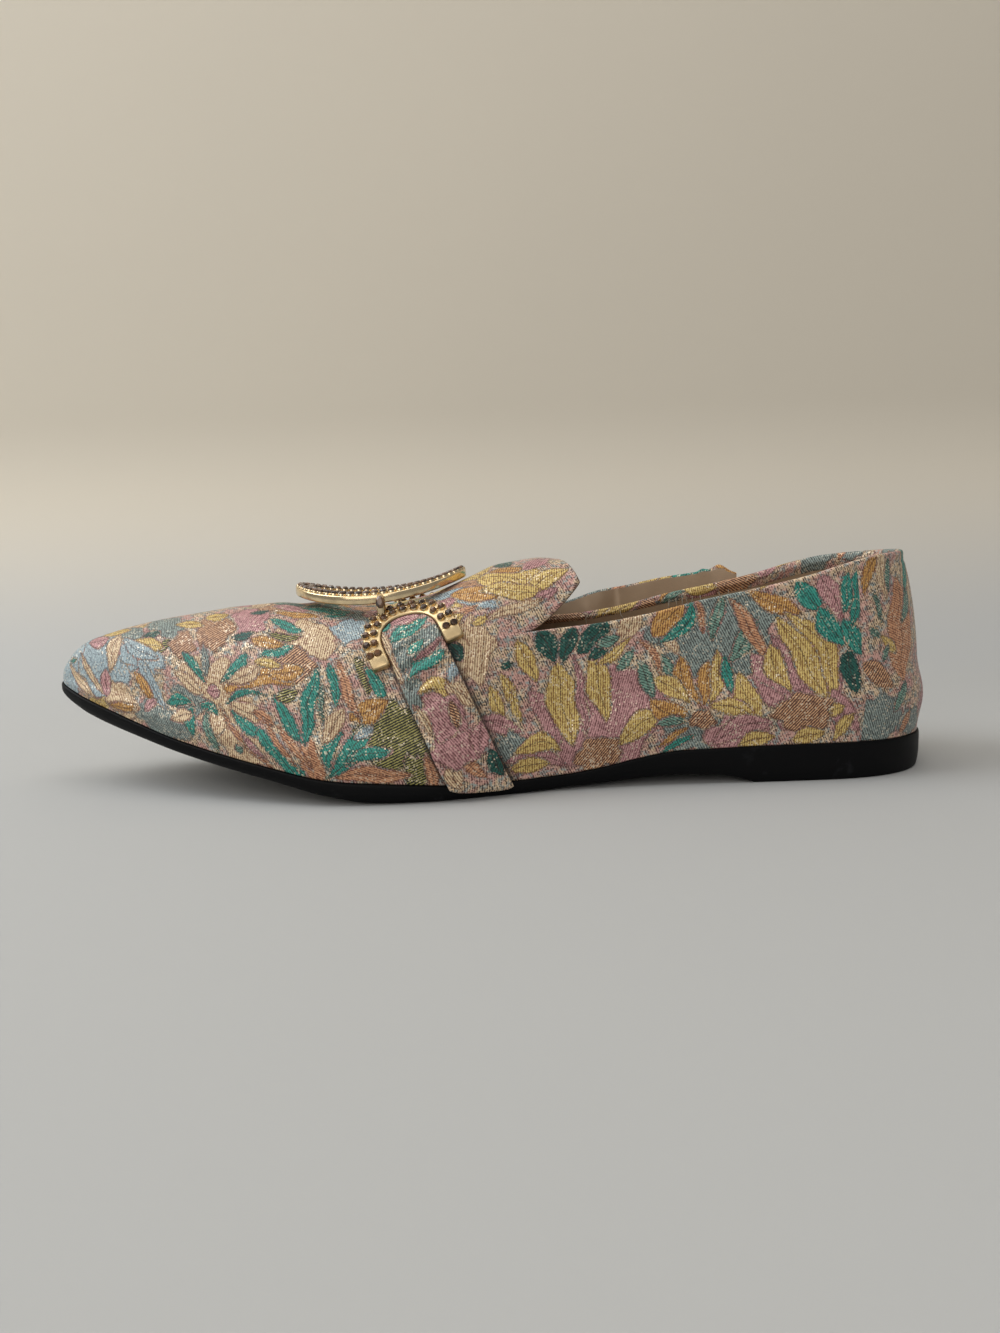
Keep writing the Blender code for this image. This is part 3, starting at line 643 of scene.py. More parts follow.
VAMP_MOTIFS = [
    Patch("cream", 150, 37, 6.5, 9),
    Patch("slate", 141, 9, 3.5, 5),
    Patch("olive", 171, 13, 10, 9.5),
    Patch("olive", 166, 3, 3.2, 5),
    Patch("cream", 196, 40, 9, 7),
    Patch("tan", 200, 31, 7, 5),
    Patch("sky", 184, 45, 5, 5),
    Patch("tan", 226, 37, 6, 8),
    Patch("tan", 236, 29, 4.5, 4.5),
    Patch("mauve", 215, 44, 6, 6.5),
    Patch("slate", 244, 35, 8, 5.5),
    Patch("slate", 241, 4, 10, 5),
    Patch("cream", 214, 5, 8, 6),
    Patch("sky", 268, 15, 13, 11),
    Patch("sky", 284, 9, 9, 13),
    Patch("sky", 250, 21, 9, 5),
    Patch("cream", 257, 5, 7, 5),
    Patch("slate", 256, 27, 6, 4),
    Patch("cream", 224, 17, 12, 10),
    Patch("slate", 232, 13, 6, 4),
    Leaf("yellow", 132, 27, 137.5, 39, 2.4, 0.6),
    Leaf("yellow", 137.5, 20, 142, 30, 1.7),
    Leaf("yellow", 141, 15.5, 145.5, 27, 1.7, 0.4),
    Leaf("yellow", 136.5, 16.5, 139, 25, 1.3),
    Leaf("mauve", 136.5, 13, 149.5, 18, 2.6, 0.6),
    Leaf("yellow", 152, 20, 156, 31, 2.0),
    Leaf("pine", 152, 34, 156.5, 38.5, 2.2),
    Leaf("peach", 188, 1.5, 167, 2.2, 2.4, -0.6),
    Leaf("peach", 161, -1, 162.5, 9, 1.7),
    Leaf("teal", 190.5, 0.5, 178, 17.5, 2.6, 1.6, 0.6),
    Leaf("teal", 189.5, 3, 185, 14, 1.7, -1.2, 0.5),
    Leaf("teal", 184.5, 5, 171.5, 9.5, 1.8, -1.0, 0.6),
    Leaf("peach", 193.5, -3, 194.2, 12.5, 3.4, 0.0, 0.35),
    Leaf("peach", 194, 2, 203.5, 13, 1.3, 0.6),
    Leaf("teal", 194.8, 8.5, 191.8, 31, 2.2, -1.0, 0.5),
    Leaf("sage", 190.3, 16, 191, 27, 0.8),
    Leaf("teal", 195.5, 9, 204, 21, 1.8, -0.8, 0.55),
    Leaf("teal", 186.3, 20.5, 188.8, 33, 1.8, 0.4, 0.55),
    Leaf("olive", 178, 24, 181.5, 35, 2.0, 0.6),
    Leaf("teal", 174, 21.5, 178.8, 32.5, 1.8, 0.6),
    Leaf("orange", 183.5, 17, 172.5, 23.5, 2.8, 0.6),
    Leaf("peach", 180, 17, 186.5, 35, 1.5, -0.8),
    Leaf("cream", 190, 10.5, 184.3, 20.5, 2.3, -0.6),
    Leaf("sky", 182, 12, 177, 16, 1.4),
    Leaf("olive", 203.5, 20, 197, 23.5, 1.8),
    Leaf("teal", 195, -0.5, 205.5, 7, 1.5, -0.4),
    Leaf("orange", 220, 18.5, 198, 25, 3.2, -3.4, 0.42),
    Leaf("orange", 206.5, 25.5, 196, 29.5, 2.4, -0.6),
    Leaf("teal", 221, 20, 214, 31.5, 1.8, 0.6, 0.6),
    Leaf("teal", 226, 19.5, 235.5, 25.8, 1.4, 0.5, 0.55),
    Leaf("slate", 226, 21, 228.5, 31, 1.4),
    Leaf("teal", 230.5, 12.8, 239.5, 10.3, 1.8, 0.4, 0.55),
    Leaf("teal", 230, 12.5, 230.8, 3, 2.0, 0.6, 0.6),
    Leaf("teal", 228.5, 13, 222, 11, 1.3, -0.8),
    Leaf("sage", 226, 12, 222.5, -0.5, 1.4, 0.5),
    Leaf("cream", 227, 16, 237, 19.5, 1.9),
    Leaf("cream", 230, 9.5, 237.5, 6, 1.8),
    Leaf("cream", 219, 20.5, 209.5, 28.5, 2.3, 0.5, 0.6),
    Leaf("cream", 218.5, 16, 206.5, 13.5, 2.7, 0.8, 0.5),
    Leaf("teal", 219.8, 14.8, 206.5, 19.5, 0.9, -2.6),
    Leaf("peach", 211, 14.5, 204.5, 13, 1.7),
    Leaf("teal", 218.5, 14.2, 207.5, 8, 1.6, 0.4, 0.6),
    Leaf("peach", 222, 14, 203, -2, 0.9, 1.0),
    Leaf("teal", 209.5, 10.5, 196.5, -1.5, 2.1, 0.4, 0.45),
    Leaf("peach", 208, 13.5, 198, 2, 1.0),
    Leaf("mauve", 214, 8, 208, 2, 1.2),
    Leaf("sage", 217, 2.5, 214.5, 4, 1.2),
    Leaf("mauve", 225.5, 17, 221.5, 17.5, 2.0),
    Leaf("teal", 209.5, 30.5, 199.5, 36.5, 2.1, -0.4, 0.55),
    Leaf("orange", 213.5, 36, 202.5, 36.5, 2.0, 0.8, 0.45),
    Leaf("yellow", 211.5, 28.8, 202.5, 29.5, 1.5),
    Leaf("olive", 209, 38.5, 198, 40.5, 1.3, 0.8),
    Leaf("teal", 208.5, 45.2, 197.5, 42.3, 2.0, 0.4),
    Leaf("orange", 208.5, 48.8, 194, 49.5, 1.8, -0.6),
    Leaf("mauve", 210, 53.5, 196, 55, 2.6),
    Leaf("teal", 201, 56, 184, 54.5, 2.0, 0.6),
    Leaf("pine", 215.5, 46.8, 210.5, 49.8, 1.2),
    Leaf("pine", 219.5, 35, 213, 38.8, 1.5, 0.4),
    Leaf("pine", 251.5, 27.3, 244.5, 31, 1.4, 0.4),
    Leaf("yellow", 254, 25, 242.5, 26, 2.6, 0.8),
    Leaf("yellow", 240.5, 36, 230.5, 37.5, 2.0),
    Leaf("yellow", 231, 41, 223, 45, 2.2),
    Leaf("sky", 259, 24, 243, 21.5, 2.6, 0.6),
    Leaf("sky", 251, 19, 239.5, 8.5, 2.4, 0.5, 0.4),
    Leaf("orange", 252.5, 15, 243.5, 8, 1.5, -0.4),
    Leaf("cream", 262, 11.5, 261, 25, 2.9, 0.0, 0.6),
    Leaf("mauve", 273, 18, 264.5, 23, 2.4),
    Leaf("mauve", 262.5, 4.5, 263.5, 12, 2.2),
    Leaf("cream", 281.5, 8, 267, 2.5, 1.6, 0.8),
    Leaf("cream", 276, 13, 264, 5, 1.3),
    Leaf("yellow", 269, 24, 257.5, 29, 1.9),
    Leaf("orange", 262.5, 1.5, 250, 6, 1.3, 0.5),
    Leaf("teal", 281, 9, 277.5, 10.5, 0.7),
    Leaf("mauve", 247, 5, 243, 10, 1.3),
    Leaf("sky", 164, 62, 142, 48, 3.6, -0.8),
    Leaf("olive", 172, 61, 162, 65.5, 2.2),
    Leaf("mauve", 164, 50, 153, 55, 2.4),
    Leaf("yellow", 148, 62, 127, 56, 6.5, 0.6, 0.5),
    Leaf("orange", 155.5, 57.5, 142, 51.3, 3.3, -0.4, 0.45),
    Leaf("orange", 145, 64, 133, 62.5, 1.9, 0.4),
    Leaf("yellow", 134, 51.5, 122, 61, 2.8, -0.8),
    Leaf("yellow", 147, 55, 128, 51, 2.8, -0.6),
    Leaf("mauve", 135, 62, 126, 70, 3.0),
    Leaf("mauve", 134, 48, 125, 54, 1.5),
    Leaf("peach", 157, 46.5, 148, 50, 1.6),
    Leaf("yellow", 158.5, 43.5, 151.5, 47.5, 1.9),
    Leaf("yellow", 149.5, 44, 143.5, 46.5, 1.3),
    Leaf("cream", 145, 45, 129, 50, 1.8, -0.6),
]

STRAP_MOTIFS = [
    Leaf("cream", -5, 1, -4, 10, 2.4, 0.5),
    Leaf("peach", 3, 2, -1, 11, 1.6, 0.8),
    Patch("mauve", -1, 12, 7, 5),
    Patch("slate", 0, 41, 8.5, 6),
    Patch("slate", -5.5, 29, 3, 6),
    Leaf("yellow", -4, 28.5, 5.5, 26.5, 3.2, 0.8),
    Leaf("cream", 3.5, 29, 7.5, 20, 2.4, 0.6),
    Patch("mauve", -0.8, 21, 5.6, 6.6),
    Leaf("tan", 1.5, 16.5, 3.0, 24.5, 1.3, 0.5),
    Leaf("cream", -6.5, 26, -5.5, 17, 1.2),
    Leaf("pine", 7.2, 0, 5.8, 8, 2.2),
    Leaf("mauve", 3, 8, 8, 16, 2.4),
    Leaf("teal", -5.8, 33.0, 7.2, 37.0, 2.4, 0.9, 0.6),
    Leaf("teal", -2.2, 38.8, 2.8, 42.3, 1.7, 0.3),
    Leaf("teal", -6.6, 44.6, 7.0, 48.0, 2.3, 0.6, 0.5),
    Leaf("mauve", -4.0, 50.3, 6.0, 51.0, 1.9),
    Leaf("teal", -8.0, 48.5, -3.0, 52.0, 1.5),
    Leaf("cream", -7.5, 32, -7.4, 51, 1.2),
    Leaf("sky", 4.6, 29, 8.0, 33.0, 1.7),
    Leaf("mauve", -2, 36.8, 8, 40.2, 0.8),
]


def leaf_field(leaf, x, y):
    """Signed distance to a leaf's edge, below 0 inside, and the distance from its bowed middle line. The half
    width along it is a half sine, pushed so that it is widest at the belly."""
    run = np.array([leaf.x1 - leaf.x0, leaf.y1 - leaf.y0])
    length = np.hypot(*run)
    run = run / length
    a = (x - leaf.x0) * run[0] + (y - leaf.y0) * run[1]
    b = (y - leaf.y0) * run[0] - (x - leaf.x0) * run[1]
    t = np.clip(a / length, 0.0, 1.0)
    b = b - leaf.bow * 4.0 * t * (1.0 - t)
    push = math.log(0.5) / math.log(leaf.belly)
    half = leaf.half * np.maximum(np.sin(math.pi * t ** push), 0.0) ** 0.75
    beyond = np.maximum(np.maximum(-a, a - length), 0.0)
    outside = np.hypot(np.maximum(np.abs(b) - half, 0.0), beyond)
    inside = np.where(beyond > 0.0, 0.0, np.maximum(half - np.abs(b), 0.0))
    return outside - inside, b


def patch_field(patch, x, y):
    """Signed distance to a patch with an uneven, lobed edge, and a flat 2 as its middle line's distance."""
    dx, dy = (x - patch.x) / patch.rx, (y - patch.y) / patch.ry
    angle = np.arctan2(dy, dx)
    lobes = 1.0 + 0.10 * np.sin(5.0 * angle + patch.x) + 0.06 * np.sin(9.0 * angle + patch.y)
    reach = np.hypot(dx, dy)
    return (reach - lobes) * min(patch.rx, patch.ry), np.full(np.shape(x), 2.0)


THREADS = ("teal", "yellow", "mauve", "orange", "pine", "peach", "sky", "olive", "slate", "cream", "tan",
           "sage")

# The greatest distance kept, the gap round a motif, how far the edges sway, and how far beyond a motif its
# field is worked out, in millimetres
FAR_AWAY = 3.0
MOAT = 0.25
SWAY = 0.35
MARGIN = 4.0


def weave_motifs(piece, layouts):
    """Stores for each thread, as an attribute of its name, each point's signed distance to that thread's
    area. Every motif is cut out of those under it by a narrow moat. A layout is a table of motifs, its shifts
    along and across the cloth, 1 or -1 for a half turn, and whether it is measured from the cloth's far edge,
    whose place is the greatest Y found near each X."""
    mesh = piece.data
    count = len(mesh.vertices)
    places = np.empty(count * 3, np.float32)
    mesh.attributes["chart"].data.foreach_get("vector", places)
    x, y = places.reshape(-1, 3)[:, :2].astype(float).T
    sway_x = SWAY * np.sin(y / 1.9 + 0.6 * np.sin(x / 2.7))
    sway_y = SWAY * np.sin(x / 2.1 + 0.8 * np.sin(y / 3.1))
    x, y = x + sway_x, y + sway_y
    column = np.clip((x - x.min()).astype(int), 0, None)
    girth = np.zeros(column.max() + 1)
    np.maximum.at(girth, column, y)
    from_far = np.interp(x - x.min(), np.arange(len(girth)) + 0.5, girth) - y
    fields = {thread: np.full(count, FAR_AWAY) for thread in THREADS}
    vein = np.full(count, 2.0)
    for table, dx, dy, way, far in layouts:
        for motif in table:
            if isinstance(motif, Leaf):
                field = leaf_field
                middle = (motif.x0 + motif.x1) / 2.0, (motif.y0 + motif.y1) / 2.0
                size = math.hypot(motif.x1 - motif.x0, motif.y1 - motif.y0) / 2.0
                size += motif.half + abs(motif.bow) + MARGIN
            else:
                field = patch_field
                middle, size = (motif.x, motif.y), max(motif.rx, motif.ry) * 1.2 + MARGIN
            u = (x - dx) * way
            v = from_far - dy if far else (y - dy) * way
            near = np.nonzero((np.abs(u - middle[0]) < size) & (np.abs(v - middle[1]) < size))[0]
            if not len(near):
                continue
            d, b = field(motif, u[near], v[near])
            for thread in THREADS:
                fields[thread][near] = np.maximum(fields[thread][near], MOAT - d)
            fields[motif.thread][near] = np.minimum(fields[motif.thread][near], d)
            vein[near] = np.where(d < 0.0, b, vein[near])
    fields["vein"] = vein
    for name, values in fields.items():
        store(mesh, name, np.clip(values, -FAR_AWAY, FAR_AWAY))
    return piece


# Shade beside the straps: how far round them it is worked out and where it ends near their tops, in metres,
# and its width on the heel's side and on the toe's side, in millimetres
SHADE_REACH = 0.030
SHADE_TOP = (0.012, 0.016)
SHADE_WIDTHS = (1.5, 0.9)


def shade_by_straps(piece):
    """Marks the cloth close beside both straps, which keep the light out there: a bell of the distance from
    the strap's edge, stored as the attribute shade. A point's share of the rise gives its way up the skin,
    and that way and its station give its place across and along the strap's own course."""
    mesh = piece.data
    count = len(mesh.vertices)
    spots = np.empty(count * 3, np.float32)
    mesh.vertices.foreach_get("co", spots)
    spots = spots.reshape(-1, 3).astype(float)
    shade = np.zeros(count)
    beyond = (HEEL_SEAT - STRAP_FOOT) * LENGTH - spots[:, 0]
    for side in (LATERAL, MEDIAL):
        here = np.nonzero((np.abs(beyond) < SHADE_REACH) & (side * spots[:, 1] > 0.0))[0]
        if not len(here):
            continue
        u = HEEL_SEAT - spots[here, 0] / LENGTH
        share = np.clip((spots[here, 2] - feather(u) - GAP) / rise(u), 0.0, 1.0)
        path = last_point(u[:, None], side, share[:, None] * np.linspace(0.0, 1.0, 25))
        way = np.linalg.norm(np.diff(path, axis=1), axis=2).sum(axis=1)
        across = way * math.sin(STRAP_TILT) - beyond[here] * math.cos(STRAP_TILT)
        along = way * math.cos(STRAP_TILT) + beyond[here] * math.sin(STRAP_TILT)
        off = (np.abs(across) - STRAP_WIDTH / 2.0) / MM
        wide = np.where(across > 0.0, *SHADE_WIDTHS)
        shade[here] = bell(off, 0.0, wide) * blend(STRAP_TOP - along, *SHADE_TOP)
    store(mesh, "shade", shade)
    return piece


def near_band(u):
    """Width of the turned-in cloth on the near side and at the heel."""
    return 0.004 + 0.0 * u


def far_band(u):
    """Width of the far side's turned-in cloth, which grows a little towards the heel."""
    return 0.0016 + 0.0022 * blend(-u, -0.36, -0.12)


# Columns and rows of the quarters' grids, and of the heel panel's grid on each side
OUTER_GRID = (280, 140)
INNER_GRID = (190, 96)
HEEL_GRID = (70, 120)


def make_quarter(name, side, material, band, size, creases):
    """One quarter's cloth from the heel panel's seam to the throat."""
    grid, chart = quarter_grid(side, PANEL_SEAM, THROAT, *size, band, creases)
    sheet = Sheet()
    sheet.add(grid, chart, flip=side < 0)
    return sheet.piece(name, [material])


def make_heel_panel(material, band):
    """Cloth round the back of the heel, between the two seams: both sides' grids, joined at the middle."""
    sheet = Sheet()
    for side in (LATERAL, MEDIAL):
        grid, chart = quarter_grid(side, 0.0, PANEL_SEAM, *HEEL_GRID, band, [])
        chart[..., 0] *= -side
        sheet.add(grid, chart, flip=side < 0)
    return sheet.piece("heel_panel_cloth", [material])


# Rows of the vamp's grid on each side, up the wall and over the crown, and the columns of both its grids
NEAR_ROWS = (96, 54)
FAR_ROWS = (66, 40)
VAMP_COLUMNS = 320
TONGUE_COLUMNS = 56

# The roll of the tongue's rim: its radius, where round it the cloth ends and the lining starts, as shares
# of a half turn, and the lining's step off the cloth
TONGUE_ROLL = 0.0008
CLOTH_END = 0.46
LINING_START = 0.43
LINING_STEP = 0.0001


def make_vamp(material):
    """Vamp and tongue in one cloth; the tongue's rim rolls over and half way under."""
    sheet = Sheet()
    grid, chart = vamp_grid(VAMP_COLUMNS, NEAR_ROWS, FAR_ROWS, VAMP_CREASES)
    sheet.add(grid, chart, flip=True)
    skin, normal = tongue_grids(TONGUE_COLUMNS, NEAR_ROWS, FAR_ROWS)
    ridge = NEAR_ROWS[1]
    way = climb(skin) / MM
    start = np.interp(THROAT, *outline_way(LATERAL)) / MM
    top = chart[1 + NEAR_ROWS[0] + ridge, 0, 1]
    x = start - (skin[..., 0] - station_x(THROAT)) / MM
    y = top + way - way[ridge]
    place = np.stack([x, y], axis=-1)
    sheet.add(skin, place)
    rim, rim_normal = rim_of(skin), rim_of(normal)
    roll = rolled_rim(rim, rim_normal, TONGUE_ROLL, np.linspace(0.0, CLOTH_END * math.pi, 8))
    rim_place = rim_of(np.concatenate([place, np.zeros(place.shape[:2] + (1,))], axis=-1))[:, :2]
    rolled = np.repeat(rim_place[None], len(roll), axis=0)
    rolled[..., 1] -= (climb(roll) / MM) * np.sign(top - rim_place[:, 1])
    sheet.add(roll, rolled, flip=True)
    return sheet.piece("vamp_cloth", [material])


def make_tongue_lining(material):
    """Lower half of the tongue's rim and its underside."""
    skin, normal = tongue_grids(TONGUE_COLUMNS, NEAR_ROWS, FAR_ROWS)
    angles = np.linspace(LINING_START * math.pi, math.pi, 8)
    sheet = Sheet()
    sheet.add(rolled_rim(rim_of(skin), rim_of(normal), TONGUE_ROLL + LINING_STEP, angles), flip=True)
    sheet.add(skin - normal * 2.0 * (TONGUE_ROLL - LINING_STEP), flip=True)
    return sheet.piece("tongue_lining", [material])


def make_vamp_lining(material):
    """Inside of the vamp from the throat forwards."""
    u = np.linspace(THROAT - 0.002, 0.93, 60)
    rows = []
    for side in (LATERAL, MEDIAL):
        share = crown_rows(u, 14, 12)
        rows.append(skin_point(u, side, np.clip(share, 0.01, 0.9995), -WALL + 0.0 * share))
    sheet = Sheet()
    sheet.add(np.concatenate([rows[0], rows[1][-2::-1]]))
    return sheet.piece("vamp_lining", [material])


# The quarters' lining: how far it stands inside the wall's middle, and its soft waves
LINING_OUT = 0.00035
LINING_WAVE = 0.00016


def make_quarter_lining(material):
    """Lining inside the quarters and heel, from under the sock's rim up behind the turned-in cloth."""
    sides = []
    for side in (MEDIAL, LATERAL):
        u, way = even_stations(side, 0.0, THROAT + 0.004, 120)
        low = collar_share(np.minimum(u, THROAT))
        share = 0.03 + (low - 0.03)[None, :] * np.linspace(0.0, 1.0, 60)[:, None]
        height = share * rise(u)[None, :] / MM
        wave = np.sin(way[None, :] / 0.0051 + height / 9.0) * np.sin(math.pi * share / low[None, :])
        wall = skin_point(u, side, share, -WALL + LINING_OUT + LINING_WAVE * wave)
        foot = skin_point(u, side, share[:1] - 0.008, -WALL - 0.0014 + 0.0 * share[:1])
        sides.append(np.concatenate([foot, wall]))
    sheet = Sheet()
    sheet.add(np.concatenate([sides[0][:, ::-1], sides[1][:, 1:]], axis=1))
    return sheet.piece("quarter_lining", [material])


def make_sock(material):
    """Foot bed: a flat sheet between the walls with a rounded rim."""
    inset = SOLE_WELT + WALL + 0.5 * GAP
    share = inset / LENGTH
    u = even_stations(LATERAL, 0.0, 1.0, 160)[0]
    spot = share + u * (1.0 - 2.0 * share)
    x, low, across = station_x(spot), feather(spot) + GAP, turn(u)[1]
    near = middle_y(u) - across * (half_width(u, LATERAL) - inset)
    far = middle_y(u) + across * (half_width(u, MEDIAL) - inset)

    def row(s, lift):
        return np.stack([x, near + (far - near) * s, low + lift], axis=-1)

    rows = []
    for s in (1.0 - np.cos(np.linspace(0.0, math.pi, 25))) / 2.0:
        edge = 1.0 - abs(2.0 * s - 1.0) ** 12
        rows.append(row(s, INSOLE * (0.3 + 0.7 * edge)))
    under = [row(s, 0.0) for s in (1.0, 0.5, 0.0)]
    sheet = Sheet()
    sheet.add(np.stack(rows + under + rows[:1]))
    return sheet.piece("sock", [material], closed=True)


# Half of the sole's rim in section: inset as a share of the bevel, and height as a share of the thickness
SOLE_PROFILE = [(1.0, 0.0), (0.74, 0.02), (0.52, 0.06), (0.33, 0.14), (0.16, 0.26), (0.05, 0.38), (0.0, 0.50),
                (0.0, 0.70), (0.0, 0.84), (0.03, 0.93), (0.10, 0.98), (0.22, 1.0)]
BREAST_STEP = 0.004


def make_sole(material):
    """Outsole: rim points from the bottom's middle, round the bevel and side, to the top's middle."""
    back, _ = even_stations(LATERAL, 0.0, BREAST, 90)
    front, _ = even_stations(LATERAL, BREAST + BREAST_STEP, 1.0, 300)
    u = np.concatenate([back, front])
    base = np.where(u <= BREAST, 0.0, sole_bottom(np.maximum(u, BREAST + BREAST_STEP)))
    thick = feather(u) - base
    bevel = SOLE_BEVEL * (0.45 + 0.55 * blend(u, BREAST, 0.60))
    rims = []
    for side in (LATERAL, MEDIAL):
        rims.append([np.stack([*outline(u, side, inset * bevel), base + up * thick], axis=-1)
                     for inset, up in SOLE_PROFILE])
    near, far = rims
    bottom = [near[0] + (far[0] - near[0]) * t for t in (0.75, 0.5, 0.25)]
    cover = [near[-1] + (far[-1] - near[-1]) * t for t in (0.25, 0.5, 0.75)]
    sheet = Sheet()
    sheet.add(np.stack(bottom + near + cover + far[::-1], axis=1), wrap=True)
    return sheet.piece("sole_unit", [material], closed=True, sharp=45.0)


def strap_patch(side, across, along, out):
    """Points on the strap's own course: across it and along it in metres, from the sole's edge upwards."""
    u = STRAP_FOOT + (along * math.sin(STRAP_TILT) - across * math.cos(STRAP_TILT)) / LENGTH
    way = along * math.cos(STRAP_TILT) + across * math.sin(STRAP_TILT)
    h = climb_share(u, side, np.maximum(way, 0.0))
    seat = (SOLE_WELT + GAP) * (1.0 - blend(way, 0.0, 0.006))
    point = skin_point(u, side, h, GAP + seat + out)
    point[..., 2] += np.minimum(way, 0.0)
    return point


# Puckers across the strap, drawn in by its seams: along and across in millimetres from the strap's foot
STRAP_PUCKERS = [
    Crease(-8.5, 30.0, 8.5, 33.4, 1.1, 0.65),
    Crease(-8.5, 35.0, 8.5, 38.8, 1.0, 0.70),
    Crease(-8.5, 40.0, 6.0, 43.8, 0.9, 0.55),
    Crease(-8.5, 25.0, 3.0, 27.5, 1.3, 0.45),
    Crease(1.0, 10.0, 8.5, 12.0, 1.4, 0.20),
]

# Loose stitches on the strap, across and along in millimetres, and the length and tilt of each
STRAP_STITCHES = [(-6.9, 41.0), (4.9, 37.0), (5.6, 32.2), (5.4, 28.6)]
STITCH_LENGTH = 2.4
STITCH_TILT = 0.45

# The strap in section, in metres: its height, its height at the very edge, the hem's round, its swell beside
# the stitch line and the line's dip
STRAP_BODY = 0.0011
STRAP_EDGE = 0.0004
HEM = 0.0007
HEM_SWELL = 0.0003
STITCH_DIP = 0.00016


def make_strap(side, name, material):
    """A flat band with a folded, rounded hem along both edges, cut level with the sole's top edge."""
    half = STRAP_WIDTH / 2.0
    flat = np.linspace(-1.0, 1.0, 45)
    bend = np.linspace(0.0, math.pi / 2, 6)[1:]
    left = -half + HEM - HEM * np.sin(bend[::-1])
    across = np.concatenate([left, flat * (half - HEM), -left[::-1]])
    body = STRAP_BODY + HEM_SWELL * bell(np.abs(flat), 0.86, 0.10)
    body -= STITCH_DIP * bell(np.abs(flat), 0.72, 0.035)
    edge = STRAP_EDGE + (body[0] - STRAP_EDGE) * np.cos(bend[::-1])
    out = np.concatenate([edge, body, edge[::-1]])
    corner = np.abs(across) / half
    foot = (-STRAP_LAP + 0.4 * STRAP_LAP * corner ** 4 - across * math.sin(STRAP_TILT)) / math.cos(STRAP_TILT)
    arch = half * (1.0 - np.sqrt(1.0 - 0.96 * corner ** 2))
    head = STRAP_TOP - SHOE_BAND - GAP - arch
    t = np.linspace(0.0, 1.0, 121)[:, None]
    along = foot + (head - foot) * t
    spread = across + 0.0 * along
    relief = crease_height(spread / MM, along / MM, STRAP_PUCKERS) * MM
    thick = (out + relief) * np.minimum(1.0, 0.35 + t * 40.0)
    grid = strap_patch(side, spread, along, np.maximum(thick, 0.0002))
    under = strap_patch(side, spread[:, [0, -1]], along[:, [0, -1]], 0.00005)
    chart = np.stack([spread / MM, along / MM], axis=-1)
    sheet = Sheet()
    sheet.add(grid, chart, flip=side > 0)
    for k, order in ((0, 1), (-1, -1)):
        edge_grid = np.stack([under[:, k], grid[:, k]][::order], axis=1)
        sheet.add(edge_grid, np.stack([chart[:, k], chart[:, k]], axis=1), flip=side > 0)
    return sheet.piece(name, [material])


def rounded_bar(width, height, corners=4):
    """Profile of a bar from its left foot, over its top, to its right foot: across from 0 to 1, and up."""
    bend = np.linspace(0.0, math.pi / 2, corners + 1)
    rise_left = np.array([[0.0, 0.0], [0.0, height * 0.45]])
    side = np.stack([width * 0.12 * (1.0 - np.cos(bend)), height * (0.70 + 0.30 * np.sin(bend))], axis=-1)
    half = np.concatenate([rise_left, side])
    other = half[::-1] * [-1.0, 1.0] + [width, 0.0]
    return np.concatenate([half, other])


# The horseshoe's height, and half the size of the block on each leg: across, along and up
SHOE_HEIGHT = 0.0017
LEG_BLOCK = (0.0026, 0.0019, 0.0022)


def make_horseshoe(side, name, metal):
    """Base of the horseshoe: a bar's rounded profile carried round the arch and down its two legs."""
    profile = rounded_bar(SHOE_BAND, SHOE_HEIGHT)
    reach = ARCH_INNER + profile[:, :1]
    angle = np.linspace(0.0, math.pi, 65)
    leg = np.linspace(-SHOE_LEG, 0.0, 9)[:-1]
    legs = leg + 0.0 * reach
    across = np.concatenate([reach + 0.0 * legs, reach * np.cos(angle), -reach + 0.0 * legs], axis=1)
    along = ARCH_CENTRE + np.concatenate([legs, reach * np.sin(angle), legs[:, ::-1]], axis=1)
    sheet = Sheet()
    sheet.add(strap_patch(side, across, along, profile[:, 1:] + 0.0 * across), flip=side < 0)
    for mark in (-1.0, 1.0):
        block = leg_block(side, mark * (ARCH_INNER + SHOE_BAND / 2.0), ARCH_CENTRE - SHOE_LEG)
        sheet.add(block, flip=side > 0)
    return sheet.piece(name, [metal], sharp=50.0)


def squared(value, power):
    """A cosine or sine pushed towards its ends, which turns a circle into a rounded square."""
    return np.sign(value) * np.abs(value) ** power


def leg_block(side, across, along):
    """A plain block on the end of a leg: a rounded box, its sides and corners on a squared sphere."""
    up = np.linspace(0.0, math.pi / 2, 8)[:, None]
    angle = np.linspace(0.0, 2.0 * math.pi, 41)[None, :]
    x = squared(np.cos(angle), 0.28) * squared(np.cos(up), 0.28)
    y = squared(np.sin(angle), 0.28) * squared(np.cos(up), 0.28)
    z = squared(np.sin(up), 0.28) + 0.0 * x
    return strap_patch(side, across + LEG_BLOCK[0] * x, along + LEG_BLOCK[1] * y, LEG_BLOCK[2] * z)


def frames_on_strap(side, across, along, out):
    """Places and axes on the strap's course: two tangents and the outward normal at each place."""
    step = 0.0002
    here = strap_patch(side, across, along, out)
    one = unit(strap_patch(side, across + step, along, out) - here)
    two = unit(strap_patch(side, across, along + step, out) - here)
    normal = unit(np.cross(one, two)) * -side
    two = np.cross(normal, one)
    return here, np.stack([one, two, normal], axis=-2)


def around(sides):
    """Each point's number round a circle with the next one's."""
    return [(i, (i + 1) % sides) for i in range(sides)]


def circle(radius, up, sides, shift=0.0):
    """Points round a circle at a height, turned by a share of a step."""
    angle = (np.arange(sides) + shift) * 2.0 * math.pi / sides
    return np.stack([radius * np.cos(angle), radius * np.sin(angle), np.full(sides, up)], axis=-1)


def circle_quads(circles, sides):
    """Quads between circles of points that follow one another."""
    quads = []
    for k in range(circles - 1):
        for i, j in around(sides):
            quads.append([k * sides + i, k * sides + j, (k + 1) * sides + j, (k + 1) * sides + i])
    return quads


